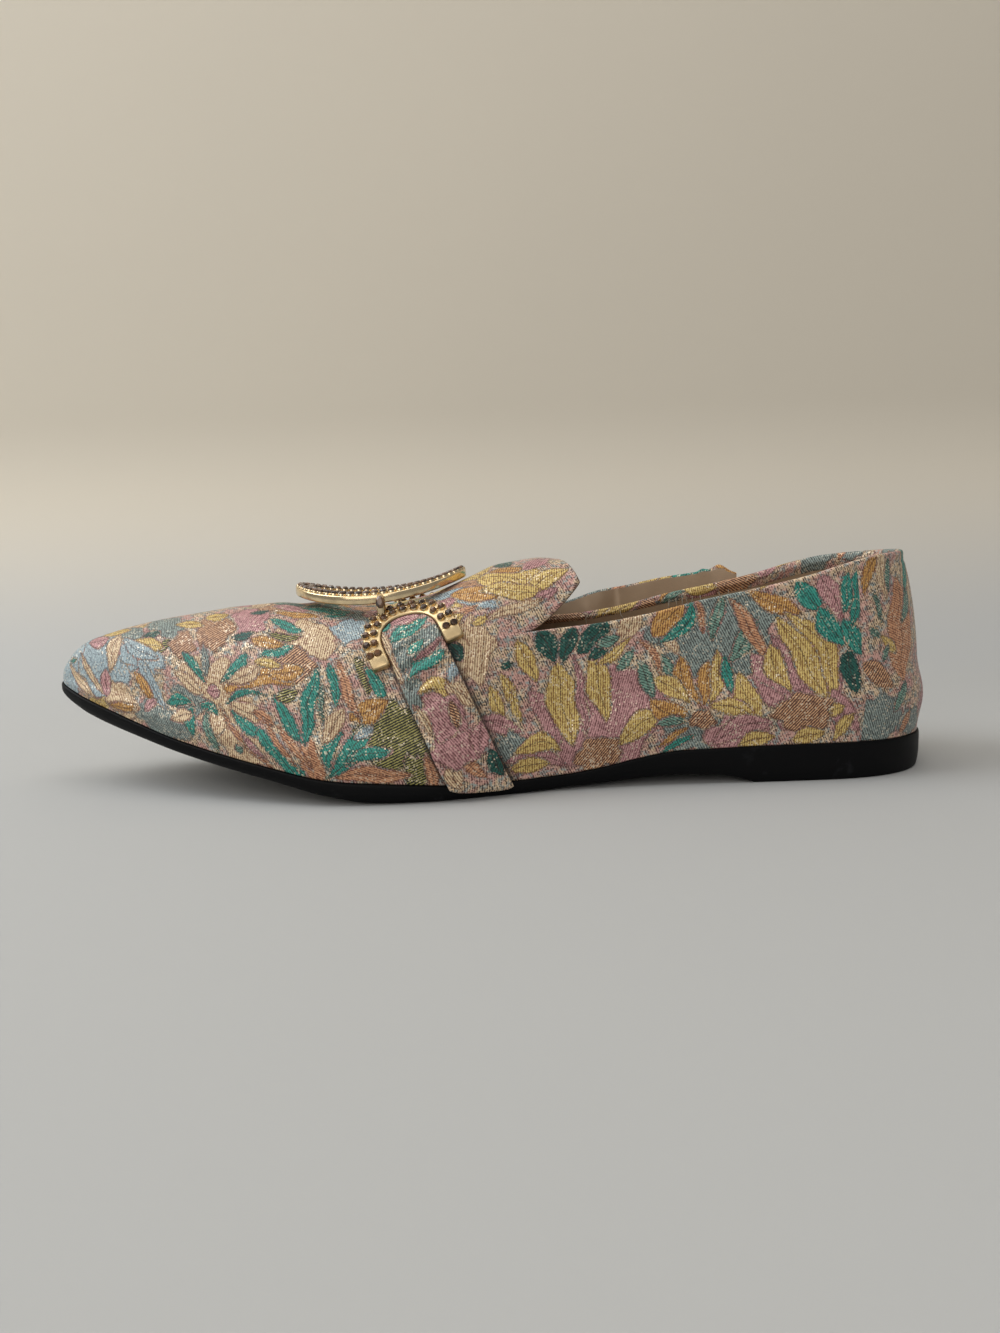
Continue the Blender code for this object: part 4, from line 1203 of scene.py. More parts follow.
def gem_shape(sides=8):
    """A faceted stone of radius 1: foot, girdle, crown and table, each turned half a facet to the last."""
    rings = [(0.86, -0.55), (1.0, 0.0), (0.88, 0.42), (0.52, 0.72)]
    points = [circle(radius, up, sides, 0.5 * (k % 2)) for k, (radius, up) in enumerate(rings)]
    faces = []
    for k in range(len(rings) - 1):
        a, b = k * sides, (k + 1) * sides
        for i, j in around(sides):
            if k % 2 == 0:
                faces += [[a + i, a + j, b + i], [a + j, b + j, b + i]]
            else:
                faces += [[a + i, b + j, b + i], [a + i, a + j, b + j]]
    faces.append([(len(rings) - 1) * sides + i for i in range(sides)])
    faces.append(list(reversed(range(sides))))
    return np.concatenate(points), faces


def cup_shape(sides=14):
    """A round bezel of inner radius 1 about the stone: a ring with a rounded lip."""
    profile = [(1.14, -0.95), (1.16, -0.16), (1.09, 0.02), (1.01, -0.02), (0.94, -0.40)]
    return np.concatenate([circle(*spot, sides) for spot in profile]), circle_quads(len(profile), sides)


def bead_shape(sides=7):
    """A low round bead of radius 1: three circles and a top."""
    rings = [(1.0, -0.4), (0.96, 0.25), (0.62, 0.74)]
    points = [circle(*spot, sides) for spot in rings] + [np.array([[0.0, 0.0, 0.96]])]
    last = (len(rings) - 1) * sides
    tip = [[last + i, last + j, last + sides] for i, j in around(sides)]
    return np.concatenate(points), circle_quads(len(rings), sides) + tip


def set_piece(name, copies, material, smooth_faces):
    """One piece of many small copies, from (shape, centres, axes, size) sets: a shape's points are turned to
    each place's axes, scaled and moved there."""
    points, faces, count = [], [], 0
    for (shape, shape_faces), centres, axes, size in copies:
        for copy in np.einsum("pk,nkj->npj", shape, axes) * size + centres[:, None, :]:
            points.append(copy)
            faces.extend([[count + v for v in face] for face in shape_faces])
            count += len(copy)
    mesh = bpy.data.meshes.new(name)
    mesh.from_pydata(np.concatenate(points), [], faces)
    mesh.materials.append(material)
    if smooth_faces:
        mesh.shade_smooth()
        mesh.set_sharp_from_angle(angle=math.radians(50.0))
    return place_object(name, mesh)


# Radii of the stones and of the beads between them
STONE = 0.00108
SHOE_BEAD = 0.00042
RING_BEAD = 0.0004

# The horseshoe's rows of stones and its beads: reach beyond the arch's inner edge, count, and how far they
# stop before the legs' ends; then their heights over the strap's course
SHOE_ROWS = ((0.0019, 12, 0.0022), (0.0042, 14, 0.0022))
SHOE_BEADS = (0.0031, 27, 0.0020)
SHOE_STONE_UP = 0.0022
SHOE_BEAD_UP = 0.0016

# The ring's rows of stones and its beads: place across the band, count, and shift as a share of a step; then
# their heights over its underside
RING_ROWS = ((0.0015, 56, 0.0), (0.0042, 50, 0.5))
RING_BEADS = (0.0029, 56, 0.5)
RING_STONE_UP = RING_WALL - 0.0001
RING_BEAD_UP = RING_WALL - 0.0009


def arch_spots(beyond, count, margin):
    """Places across and along the strap's course, at even steps round the arch from leg to leg."""
    reach = ARCH_INNER + beyond
    way = np.linspace(margin, math.pi * reach + 2.0 * SHOE_LEG - margin, count)
    angle = np.clip((way - SHOE_LEG) / reach, 0.0, math.pi)
    first_leg = np.minimum(way - SHOE_LEG, 0.0)
    last_leg = np.minimum(SHOE_LEG + math.pi * reach - way, 0.0)
    return reach * np.cos(angle), ARCH_CENTRE + reach * np.sin(angle) + first_leg + last_leg


def ring_height(x):
    """Underside of the ring: a shallow bow along the instep."""
    low_u = np.array([RING_LOW])
    low = feather(low_u)[0] + rise(low_u)[0]
    return low + 3.0 * GAP + RING_SAG * (x - station_x(RING_LOW)) ** 2


def ring_point(angle, across, up):
    """A point of the ring, from its angle, its place across the band from outside inwards, and its height."""
    x = station_x(RING_MIDDLE) + (RING_LENGTH / 2.0 - across) * np.cos(angle)
    y = middle_y(RING_MIDDLE) + (RING_WIDTH / 2.0 - across) * np.sin(angle)
    return np.stack([x, y, ring_height(x) + up], axis=-1)


def make_ring(metal):
    """The ring's band: a closed rounded profile carried round the oval."""
    angle = np.linspace(0.0, 2.0 * math.pi, 145)[:-1]
    bend = np.linspace(0.0, 2.0 * math.pi, 33)[:-1]
    across = RING_BAND / 2.0 * (1.0 - squared(np.cos(bend), 0.30))
    up = (RING_WALL - 0.0006) / 2.0 * (1.0 + squared(np.sin(bend), 0.30))
    rows = [ring_point(angle, a, z) for a, z in zip(across, up)]
    sheet = Sheet()
    sheet.add(np.stack(rows + rows[:1]), wrap=True)
    return sheet.piece("ring_band", [metal], closed=True)


def ring_frames(across, count, shift, up):
    """Places and axes at even steps round the ring, at a place across its band and a height on its wall."""
    fine = np.linspace(0.0, 2.0 * math.pi, 2001)
    step = np.linalg.norm(np.diff(ring_point(fine, across, 0.0), axis=0), axis=1)
    way = np.concatenate([[0.0], np.cumsum(step)])
    angle = np.interp((np.arange(count) + shift) / count * way[-1], way, fine)
    here = ring_point(angle, across, up)
    one = unit(ring_point(angle + 0.01, across, up) - here)
    two = unit(ring_point(angle, across - 0.0005, up) - here)
    normal = unit(np.cross(two, one))
    normal *= np.sign(normal[..., 2:])
    return here, np.stack([one, np.cross(normal, one), normal], axis=-2)


def tube(path, radius, sides=12):
    """A tube along a path, its radius one value or one for each point; both ends close to a point."""
    step = unit(np.gradient(path, axis=0))
    aid = np.where(np.abs(step[:, 2:]) > 0.9, [[1.0, 0.0, 0.0]], [[0.0, 0.0, 1.0]])
    one = unit(np.cross(step, aid))
    two = np.cross(step, one)
    angle = np.linspace(0.0, 2.0 * math.pi, sides, endpoint=False)[:, None, None]
    radius = np.broadcast_to(radius, len(path))[:, None]
    rings = path + (one * np.cos(angle) + two * np.sin(angle)) * radius
    start, end = (np.broadcast_to(path[k], (sides, 1, 3)) for k in (0, -1))
    return np.concatenate([start, rings, end], axis=1).transpose(1, 0, 2)


LINK_RADIUS = 0.0013
LINK_STONE = 0.0013


def link_path(side):
    """Middle line of the short loop that joins the horseshoe's top to the ring's side."""
    reach = ARCH_INNER + SHOE_BAND * 0.8
    across = np.array([reach * math.cos(LINK_PLACE)])
    along = np.array([ARCH_CENTRE + reach * math.sin(LINK_PLACE)])
    foot = strap_patch(side, across, along, 0.0016)[0]
    rim = ring_point(np.linspace(0.0, 2.0 * math.pi, 721), 0.0004, RING_WALL * 0.45)
    head = rim[np.argmin(np.linalg.norm(rim - foot, axis=1))]
    t = np.linspace(0.0, 1.0, 15)[:, None]
    return foot + (head - foot) * t + np.array([0.0, side * 0.0006, 0.0010]) * np.sin(math.pi * t)


def oval_on_link(side, path, gem):
    """One oval stone that stands on the link's middle, its long axis along the link."""
    long = unit(path[-1] - path[0])
    out = unit(np.cross(long, [1.0, 0.0, 0.0])) * side
    out = out * np.sign(out[2])
    axes = np.stack([long * 1.5, np.cross(out, long), out])
    centre = path[len(path) // 2] + out * LINK_RADIUS
    return gem, centre[None], axes[None], LINK_STONE


# The slack fold's wave and its lip's radius in metres, and its two pinches, its step and its pleat: the size
# of each in metres, its station and its width along the shoe as a share of the length
FOLD_WAVE = 0.00045
FOLD_LIP = 0.0006
PINCHES = ((0.0012, 0.196, 0.010), (0.0005, 0.218, 0.006))
FOLD_STEP = (0.0008, 0.330, 0.016)
FOLD_PLEAT = (0.0009, 0.360, 0.006)


def make_fold(cloth, lining):
    """The slack layer outside the far collar: lining on its inner face, cloth over its lip and outside. It
    has a shallow wave along it, two pinches near its back end, a step and a pleat."""
    u, way = even_stations(MEDIAL, FOLD_BACK, FOLD_FRONT, 150)
    t = np.linspace(0.0, 1.0, 25)[:, None]
    over = FOLD_FLARE * smooth(FOLD, "over", u)
    out = FOLD_FLARE * smooth(FOLD, "out", u)
    wave = FOLD_WAVE * np.sin(way / 0.0032) * np.sin(way / 0.0105 + 1.0)
    pinch = sum(size * bell(u, place, width) for size, place, width in PINCHES)
    size, place, width = FOLD_STEP
    step = size * np.tanh((u - place) / 0.0015) * bell(u, place, width)
    size, place, width = FOLD_PLEAT
    pleat = size * bell(u - 0.030 * (t - 0.5), place, width)
    share = collar_share(u)[None, :] * (FOLD_ROOT + (1.0 - FOLD_ROOT) * t)
    inner = skin_point(u, MEDIAL, share, GAP + 0.0 * share)
    inner[..., 1] += out * t ** 1.5 + wave * t ** 3
    inner[..., 1] += (step - pleat) * np.sin(math.pi * np.minimum(t, 0.9)) ** 0.5
    inner[..., 2] += (over + pinch) * t
    normal = skin_normal(u, MEDIAL, share)
    radius = (FOLD_LIP + 0.5 * pinch)[:, None]
    up = unit(inner[-1] - inner[-2])
    angle = np.linspace(0.0, math.pi, 10)[:, None, None]
    roll = inner[-1] + up * (radius * np.sin(angle)) + normal[-1] * (radius * (1.0 - np.cos(angle)))
    outer = (inner + normal * 2.0 * radius)[::-1]
    cloth_rows = np.concatenate([roll, outer[1:]])
    height = climb(cloth_rows) / MM
    chart = np.stack([way[None, :] / MM + 30.0 + 0.0 * height, 40.0 - height], axis=-1)
    sheet = Sheet()
    sheet.add(inner, flip=True, slot=1)
    sheet.add(cloth_rows, chart, flip=True)
    return sheet.piece("collar_fold_cloth", [cloth, lining])


# Loose yarn ends on the far collar's turned-in edge: station, drop and lean in millimetres
Yarn = namedtuple("Yarn", "u drop lean")
YARNS = [
    Yarn(0.330, 4.6, 2.4),
    Yarn(0.372, 3.4, 0.3),
    Yarn(0.268, 4.2, -0.8),
    Yarn(0.259, 3.4, 0.7),
    Yarn(0.251, 5.0, -0.2),
    Yarn(0.246, 3.6, 1.6),
    Yarn(0.238, 4.4, -1.4),
    Yarn(0.228, 3.0, 0.4),
    Yarn(0.204, 3.2, 1.0),
    Yarn(0.192, 2.6, -0.6),
]


YARN_RADIUS = 0.00011
STITCH_RADIUS = 0.00020
STITCH_OUT = 0.0019


def make_yarns(band, material):
    """Thin tubes that hang from the lower edge of the turned-in cloth."""
    sheet = Sheet()
    for yarn in YARNS:
        u = np.array([yarn.u])
        t = np.linspace(0.0, 1.0, 12)
        low = collar_share(u)
        start = low - (band(u) - 0.0012) / rise(u)
        share = start - t * yarn.drop * MM / rise(u)
        spot = u - t ** 2 * yarn.lean * MM / LENGTH
        path = skin_point(spot, MEDIAL, share, -WALL - 0.00035 - 0.0004 * np.sin(math.pi * t))
        sheet.add(tube(path, YARN_RADIUS * (1.0 - 0.5 * t), 6), wrap=True)
    return sheet.piece("frayed_yarns", [material], merge=1e-7, closed=True)


def make_stitches(side, name, material):
    """Short loose stitches on the strap."""
    sheet = Sheet()
    t = np.linspace(-0.5, 0.5, 7)
    thin = np.sqrt(np.clip(1.06 - (2.0 * t) ** 2, 0.0, 1.0))
    for across, along in STRAP_STITCHES:
        a = (across + t * STITCH_LENGTH * math.sin(STITCH_TILT)) * MM
        b = (along + t * STITCH_LENGTH * math.cos(STITCH_TILT)) * MM
        path = strap_patch(side, a, b, STITCH_OUT + 0.00018 * (1.0 - (2.0 * t) ** 2))
        sheet.add(tube(path, STITCH_RADIUS * thin, 6), wrap=True)
    return sheet.piece(name, [material], merge=1e-7, closed=True)


class Nodes:
    """The node tree of one material, with short names for the nodes that the finishes use."""

    def __init__(self, name):
        self.material = bpy.data.materials.new(name)
        self.material.use_nodes = True
        self.tree = self.material.node_tree
        self.shader = self.tree.nodes["Principled BSDF"]

    def make(self, kind, output=0, **settings):
        """Adds a node. Settings named in_NAME or in_0 go to its inputs, and the others to its own options."""
        node = self.tree.nodes.new(kind)
        for key, value in settings.items():
            if not key.startswith("in_"):
                setattr(node, key, value)
        for key, value in settings.items():
            if key.startswith("in_"):
                name = key[3:].replace("_", " ")
                self.join(value, node.inputs[int(name)] if name.isdigit() else node.inputs[name])
        return node.outputs[output]

    def join(self, value, socket):
        if isinstance(value, bpy.types.NodeSocket):
            self.tree.links.new(value, socket)
        elif socket.type == "RGBA":
            socket.default_value = (*value[:3], 1.0)
        elif socket.type == "VECTOR" and not hasattr(value, "__len__"):
            socket.default_value = (value, value, value)
        else:
            socket.default_value = value

    def set(self, name, value):
        self.join(value, self.shader.inputs[name])

    def math(self, operation, *values, clamp=False):
        settings = {f"in_{i}": value for i, value in enumerate(values)}
        return self.make("ShaderNodeMath", operation=operation, use_clamp=clamp, **settings)

    def add(self, a, b):
        return self.math("ADD", a, b)

    def times(self, a, b):
        return self.math("MULTIPLY", a, b)

    def wave(self, value, pitch, shift=0.0):
        """A smooth wave between 0 and 1 with the given pitch."""
        turned = self.math("MULTIPLY_ADD", value, 2.0 * math.pi / pitch, shift)
        return self.math("MULTIPLY_ADD", self.math("SINE", turned), 0.5, 0.5)

    def ramp(self, value, low, high):
        """0 at low and 1 at high, and a smooth step between; low may be the greater."""
        return self.make("ShaderNodeMapRange", interpolation_type="SMOOTHSTEP",
                         in_Value=value, in_1=low, in_2=high)

    def mix(self, share, first, second, kind="MIX"):
        node = self.tree.nodes.new("ShaderNodeMix")
        node.data_type = "RGBA"
        node.blend_type = kind
        self.join(share, node.inputs[0])
        self.join(first, node.inputs[6])
        self.join(second, node.inputs[7])
        return node.outputs[2]

    def attribute(self, name, output="Fac"):
        node = self.tree.nodes.new("ShaderNodeAttribute")
        node.attribute_name = name
        return node.outputs[output]

    def place(self):
        return self.make("ShaderNodeTexCoord", output=3)

    def noise(self, vector, scale, detail=2.0, rough=0.5):
        return self.make("ShaderNodeTexNoise", in_Vector=vector, in_Scale=scale,
                         in_Detail=detail, in_Roughness=rough)

    def bump(self, height, distance, strength=1.0):
        bent = self.make("ShaderNodeBump", in_Height=height, in_Distance=distance, in_Strength=strength)
        self.set("Normal", bent)


def plain_metal(name, colour, dull):
    """Pale gold plating: warm metal with fine scratches and cloudy wear."""
    n = Nodes(name)
    place = n.place()
    cloud = n.noise(place, 260.0, 3.0)
    fine = n.noise(place, 2600.0, 2.0)
    n.set("Base Color", n.mix(n.ramp(cloud, 0.35, 0.75), colour, [c * 0.72 for c in colour]))
    n.set("Metallic", 1.0)
    n.set("Roughness", n.math("MULTIPLY_ADD", cloud, 0.30, dull))
    n.bump(n.math("MULTIPLY_ADD", fine, 0.3, cloud), 0.00004, 0.5)
    return n.material


def stone_finish():
    """Faceted dark brown stones: clear gloss over a brown body whose depth varies from stone to stone."""
    n = Nodes("brown_stones")
    place = n.place()
    tint = n.noise(place, 420.0, 1.0)
    n.set("Base Color", n.mix(n.ramp(tint, 0.35, 0.65), (0.030, 0.013, 0.006), (0.170, 0.080, 0.034)))
    n.set("Roughness", n.math("MULTIPLY_ADD", tint, 0.10, 0.04))
    n.set("Specular IOR Level", 0.6)
    n.set("Coat Weight", 0.4)
    n.set("Coat Roughness", 0.05)
    return n.material


def sole_finish():
    """Satin black rubber: fine grain, dull scuffs along the side and a grooved underside."""
    n = Nodes("black_sole")
    place = n.place()
    grain = n.noise(place, 2400.0, 2.0)
    wear = n.noise(place, 130.0, 5.0, 0.6)
    axis = n.make("ShaderNodeSeparateXYZ", in_0=place)
    facing = n.make("ShaderNodeSeparateXYZ", output=2, in_0=n.make("ShaderNodeNewGeometry", output=1))
    under = n.ramp(facing, -0.80, -0.95)
    groove = n.ramp(n.wave(axis, 0.0032), 0.25, 0.45)
    scuff = n.ramp(wear, 0.60, 0.74)
    n.set("Base Color", n.mix(n.times(scuff, 0.40), (0.0016, 0.0017, 0.0021), (0.030, 0.031, 0.034)))
    n.set("Roughness", n.math("MULTIPLY_ADD", wear, 0.22, n.math("MULTIPLY_ADD", scuff, 0.15, 0.42)))
    n.set("Specular IOR Level", 0.12)
    relief = n.add(n.times(grain, 0.10), n.times(n.times(groove, under), 6.0))
    n.bump(relief, 0.0001, 0.8)
    return n.material


def lining_finish(name, light, dark):
    """Tan synthetic leather: fine grain, soft stains and a little sheen on its folds."""
    n = Nodes(name)
    place = n.place()
    stain = n.noise(place, 60.0, 4.0)
    grain = n.make("ShaderNodeTexVoronoi", in_Vector=place, in_Scale=1500.0)
    n.set("Base Color", n.mix(n.ramp(stain, 0.30, 0.72), light, dark))
    n.set("Roughness", n.math("MULTIPLY_ADD", stain, 0.22, 0.50))
    n.set("Specular IOR Level", 0.35)
    n.bump(n.math("MULTIPLY_ADD", grain, 0.35, n.times(stain, 2.0)), 0.00012, 0.6)
    return n.material


def yarn_finish():
    """Pale twisted yarn."""
    n = Nodes("pale_yarn")
    place = n.place()
    twist = n.noise(place, 3000.0, 1.0)
    n.set("Base Color", n.mix(twist, (0.62, 0.57, 0.47), (0.34, 0.28, 0.20)))
    n.set("Roughness", 0.75)
    n.set("Sheen Weight", 0.3)
    n.bump(twist, 0.00005)
    return n.material


def tone(red, green, blue):
    """A colour given in 0 to 255, as linear light."""
    return [((c / 255.0 + 0.055) / 1.055) ** 2.4 if c > 10.3 else c / 3294.6 for c in (red, green, blue)]


# How each thread's area is woven: its tone on the ribs' crests and its darker tone in the grooves
# between them, a painted shade, the direction in degrees of its ribs, and their depth, which sets how dark
# that painted shade goes
Weave = namedtuple("Weave", "light dark ribs depth")
WEAVES = {
    "slate": Weave(tone(152, 166, 160), tone(66, 70, 68), 64, 1.0),
    "cream": Weave(tone(236, 212, 172), tone(130, 86, 62), 96, 0.9),
    "tan": Weave(tone(226, 176, 132), tone(88, 52, 40), 132, 1.35),
    "olive": Weave(tone(176, 168, 96), tone(28, 28, 20), 152, 1.5),
    "sky": Weave(tone(176, 196, 202), tone(92, 98, 104), 70, 0.8),
    "mauve": Weave(tone(206, 154, 154), tone(104, 62, 62), 108, 0.75),
    "peach": Weave(tone(214, 158, 118), tone(108, 60, 42), 20, 0.75),
    "orange": Weave(tone(216, 166, 92), tone(118, 70, 32), 100, 0.9),
    "yellow": Weave(tone(230, 202, 124), tone(128, 88, 40), 92, 0.85),
    "sage": Weave(tone(126, 164, 148), tone(40, 64, 56), 30, 0.8),
    "pine": Weave(tone(30, 92, 82), tone(6, 20, 18), 45, 0.6),
    "teal": Weave(tone(56, 156, 140), tone(10, 64, 60), 60, 0.7),
}

# Pitches of the ribs, the picks, the faint lines inside a motif and its binding points, and how ragged a
# motif's edge is, in millimetres
RIB_PITCH = 0.66
PICK_PITCH = 0.42
ECHO_PITCH = 1.7
BINDING_PITCH = 0.92
RAGGED_EDGE = 0.75

# Tones of the speckled ground, light and dark, of the binding yarn, and of the metal yarn, whose pale spots
# are partly painted glints
ROSY, STRAW, ASH = tone(210, 164, 152), tone(224, 196, 160), tone(158, 166, 162)
PLUM, BARK = tone(92, 58, 54), tone(70, 58, 50)
BINDER, METAL_YARN_AND_GLINT = tone(62, 40, 34), tone(232, 216, 192)
SHADE_TINT = (0.16, 0.13, 0.12)


def brocade_finish(name):
    """Woven brocade: a speckled ground and an area for each thread, ribbed in its own direction and darker in
    the grooves between the ribs as painted shade, with dark binding points round each motif and along its
    middle, a bright metal yarn that shows in places, its pale spots partly painted glints, and painted shade
    beside the straps."""
    n = Nodes(name)
    chart = n.attribute("chart", "Vector")
    axes = n.tree.nodes.new("ShaderNodeSeparateXYZ")
    n.join(chart, axes.inputs[0])
    x, y = axes.outputs[0], axes.outputs[1]
    picks = n.make("ShaderNodeVectorMath", operation="SCALE", in_0=chart, in_Scale=1.0 / PICK_PITCH)
    cell = n.make("ShaderNodeVectorMath", operation="FLOOR", in_0=picks)
    pick = n.make("ShaderNodeTexWhiteNoise", in_Vector=cell)
    shifted = n.make("ShaderNodeVectorMath", operation="ADD", in_0=cell, in_1=(17.0, 5.0, 0.0))
    other_pick = n.make("ShaderNodeTexWhiteNoise", in_Vector=shifted)
    ragged = n.times(n.math("SUBTRACT", other_pick, 0.5), RAGGED_EDGE)
    cloud = n.noise(chart, 0.16, 3.0)
    mottle = n.noise(chart, 0.55, 3.0, 0.6)
    grain = n.noise(chart, 2.2, 2.0, 0.7)

    def ribs(degrees):
        across = math.radians(degrees) + math.pi / 2
        run = n.add(n.times(x, math.cos(across)), n.times(y, math.sin(across)))
        return n.wave(n.math("MULTIPLY_ADD", mottle, 0.35, run), RIB_PITCH)

    weft, warp = n.wave(x, 2.0 * PICK_PITCH), n.wave(y, 2.0 * PICK_PITCH)
    basket = n.math("MULTIPLY_ADD", weft, 0.5, n.times(warp, 0.5))
    warm = n.mix(n.ramp(cloud, 0.40, 0.60), ROSY, STRAW)
    ground = n.mix(n.ramp(mottle, 0.48, 0.62), warm, ASH)
    low = n.mix(n.ramp(cloud, 0.45, 0.55), PLUM, BARK)
    speckle = n.ramp(n.add(n.times(pick, 0.62), n.times(ribs(66), 0.38)), 0.16, 0.66)
    colour = n.mix(speckle, low, ground)
    rib_height = basket
    edge = None
    raised = 0.0
    for thread, yarns in WEAVES.items():
        field = n.attribute(thread)
        inside = n.ramp(n.add(field, ragged), 0.08, -0.08)
        rib = ribs(yarns.ribs)
        # Painted shade: the thread's colour goes from its light tone on a rib's crest to its dark tone in the
        # groove
        lit = n.math("MULTIPLY_ADD", n.math("SUBTRACT", 1.0, rib), -yarns.depth, 1.0)
        echo = n.ramp(n.wave(n.math("MULTIPLY_ADD", mottle, 1.2, field), ECHO_PITCH), 0.72, 0.98)
        lit = n.math("MULTIPLY_ADD", echo, -0.32, lit)
        lit = n.math("MULTIPLY_ADD", n.math("SUBTRACT", grain, 0.5), 0.6, lit)
        lit = n.math("MULTIPLY_ADD", n.math("SUBTRACT", pick, 0.45), 0.85, lit, clamp=True)
        colour = n.mix(inside, colour, n.mix(lit, yarns.dark, yarns.light))
        rib_height = n.make("ShaderNodeMix", in_0=inside, in_2=rib_height, in_3=rib)
        raised = n.math("MAXIMUM", raised, n.ramp(field, 0.25, -0.35))
        near = n.math("ABSOLUTE", n.math("SUBTRACT", field, 0.16))
        edge = near if edge is None else n.math("MINIMUM", edge, near)
    rising, falling = n.wave(n.add(x, y), BINDING_PITCH), n.wave(n.math("SUBTRACT", x, y), BINDING_PITCH)
    dots = n.ramp(n.math("MAXIMUM", rising, falling), 0.35, 0.75)
    bound = n.times(n.ramp(edge, 0.30, 0.10), n.times(n.ramp(pick, 0.35, 0.65), 0.62))
    vein = n.math("ABSOLUTE", n.attribute("vein"))
    midrib = n.times(n.ramp(vein, 0.30, 0.10), n.times(dots, 0.7))
    colour = n.mix(n.math("MAXIMUM", bound, midrib), colour, BINDER)
    # Metal yarn in random spots: metallic and glossier, and pale cream painted into the base colour as glints
    glint = n.ramp(n.math("MULTIPLY_ADD", grain, 0.35, pick), 1.03, 1.12)
    sparkle = n.times(glint, n.ramp(cloud, 0.36, 0.62))
    colour = n.mix(n.times(sparkle, 0.8), colour, METAL_YARN_AND_GLINT)
    colour = n.mix(n.attribute("shade"), colour, n.mix(1.0, colour, SHADE_TINT, "MULTIPLY"))
    n.set("Base Color", colour)
    n.set("Metallic", n.times(sparkle, 0.5))
    dull = n.math("MULTIPLY_ADD", rib_height, -0.10, 0.58)
    n.set("Roughness", n.math("MULTIPLY_ADD", sparkle, -0.25, dull))
    n.set("Specular IOR Level", 0.45)
    n.set("Sheen Weight", 0.10)
    n.set("Sheen Roughness", 0.4)
    height = n.add(n.times(rib_height, 0.55), n.add(raised, n.times(bound, -0.8)))
    n.bump(n.math("MULTIPLY_ADD", grain, 0.5, height), 0.00014, 0.8)
    return n.material


# The stage's colours, and in metres the floor's front edge, half its width, where the backdrop starts, the
# radius of its bend and its height above the bend
FLOOR = (0.445, 0.45, 0.445)
BACKDROP = (0.70, 0.635, 0.525)
CLOUD_TINT = (0.44, 0.42, 0.39)
FLOOR_FRONT = -2.2
STAGE_HALF = 2.4
BACKDROP_Y = 0.15
BACKDROP_BEND = 0.16
BACKDROP_HEIGHT = 2.2


def make_stage():
    """A pale floor that sweeps up into a backdrop behind the shoe."""
    bend = np.linspace(0.0, math.pi / 2, 25)[1:]
    swept = BACKDROP_Y + BACKDROP_BEND * np.sin(bend)
    floor = np.linspace(FLOOR_FRONT, BACKDROP_Y, 12)
    y = np.concatenate([floor, swept, np.full(5, BACKDROP_Y + BACKDROP_BEND)])
    lifted = BACKDROP_BEND * (1.0 - np.cos(bend))
    z = np.concatenate([0.0 * floor, lifted, BACKDROP_BEND + np.linspace(0.1, BACKDROP_HEIGHT, 5)])
    x = np.linspace(-STAGE_HALF, STAGE_HALF, 9)
    grid = np.stack([x[None, :] + 0.0 * y[:, None], y[:, None] + 0.0 * x, z[:, None] + 0.0 * x], axis=-1)
    n = Nodes("pale_backdrop")
    place = n.place()
    cloud = n.noise(place, 3.0, 2.0)
    up = n.ramp(n.make("ShaderNodeSeparateXYZ", output=2, in_0=place), 0.0, 0.12)
    n.set("Base Color", n.mix(n.times(cloud, 0.15), n.mix(up, FLOOR, BACKDROP), CLOUD_TINT))
    n.set("Roughness", 0.9)
    sheet = Sheet()
    sheet.add(grid)
    sheet.piece("backdrop", [n.material], merge=None, sharp=80.0)


# Soft lamps in metres and watts: a window beyond the toe, light from above, and the room in front
Lamp = namedtuple("Lamp", "name place width height power colour")
LAMPS = [
    Lamp("window", (-1.05, 0.20, 0.95), 1.2, 1.0, 17.0, (0.95, 0.98, 1.0)),
    Lamp("sky", (-0.10, 0.05, 1.4), 1.5, 1.0, 8.2, (1.0, 0.98, 0.95)),
    Lamp("room", (-0.45, -1.10, 0.60), 1.0, 0.8, 4.6, (1.0, 0.95, 0.88)),
]
LAMP_TARGET = np.array([-0.08, 0.0, 0.03])
ROOM_LIGHT = (0.92, 0.93, 0.95, 1.0)
ROOM_STRENGTH = 0.28

# The photograph's camera: its place, its pitch and roll in degrees, and its focal length and picture height
# in pixels
CAMERA_PLACE = (-0.0945, -0.2595, 0.0656)
CAMERA_PITCH = 7.47
CAMERA_ROLL = 1.75
FOCAL_LENGTH = 850.0
PICTURE_HEIGHT = 1333.0
SENSOR = 36.0


def turned(right, up, back, place):
    """The matrix that sets a lamp or camera at a place with the given axes."""
    return Matrix([[right[i], up[i], back[i], place[i]] for i in range(3)] + [[0, 0, 0, 1]])


def make_lamp(lamp):
    """A rectangular lamp that faces the shoe; one straight above it takes its aid axis across the shoe."""
    data = bpy.data.lights.new(lamp.name, "AREA")
    data.shape = "RECTANGLE"
    data.size, data.size_y = lamp.width, lamp.height
    data.energy = lamp.power
    data.color = lamp.colour
    place = np.array(lamp.place)
    back = unit(place - LAMP_TARGET)
    aid = [0.0, 0.0, 1.0] if abs(back[2]) < 0.99 else [0.0, 1.0, 0.0]
    right = unit(np.cross(aid, back))
    place_object(lamp.name, data).matrix_world = turned(right, np.cross(back, right), back, place)


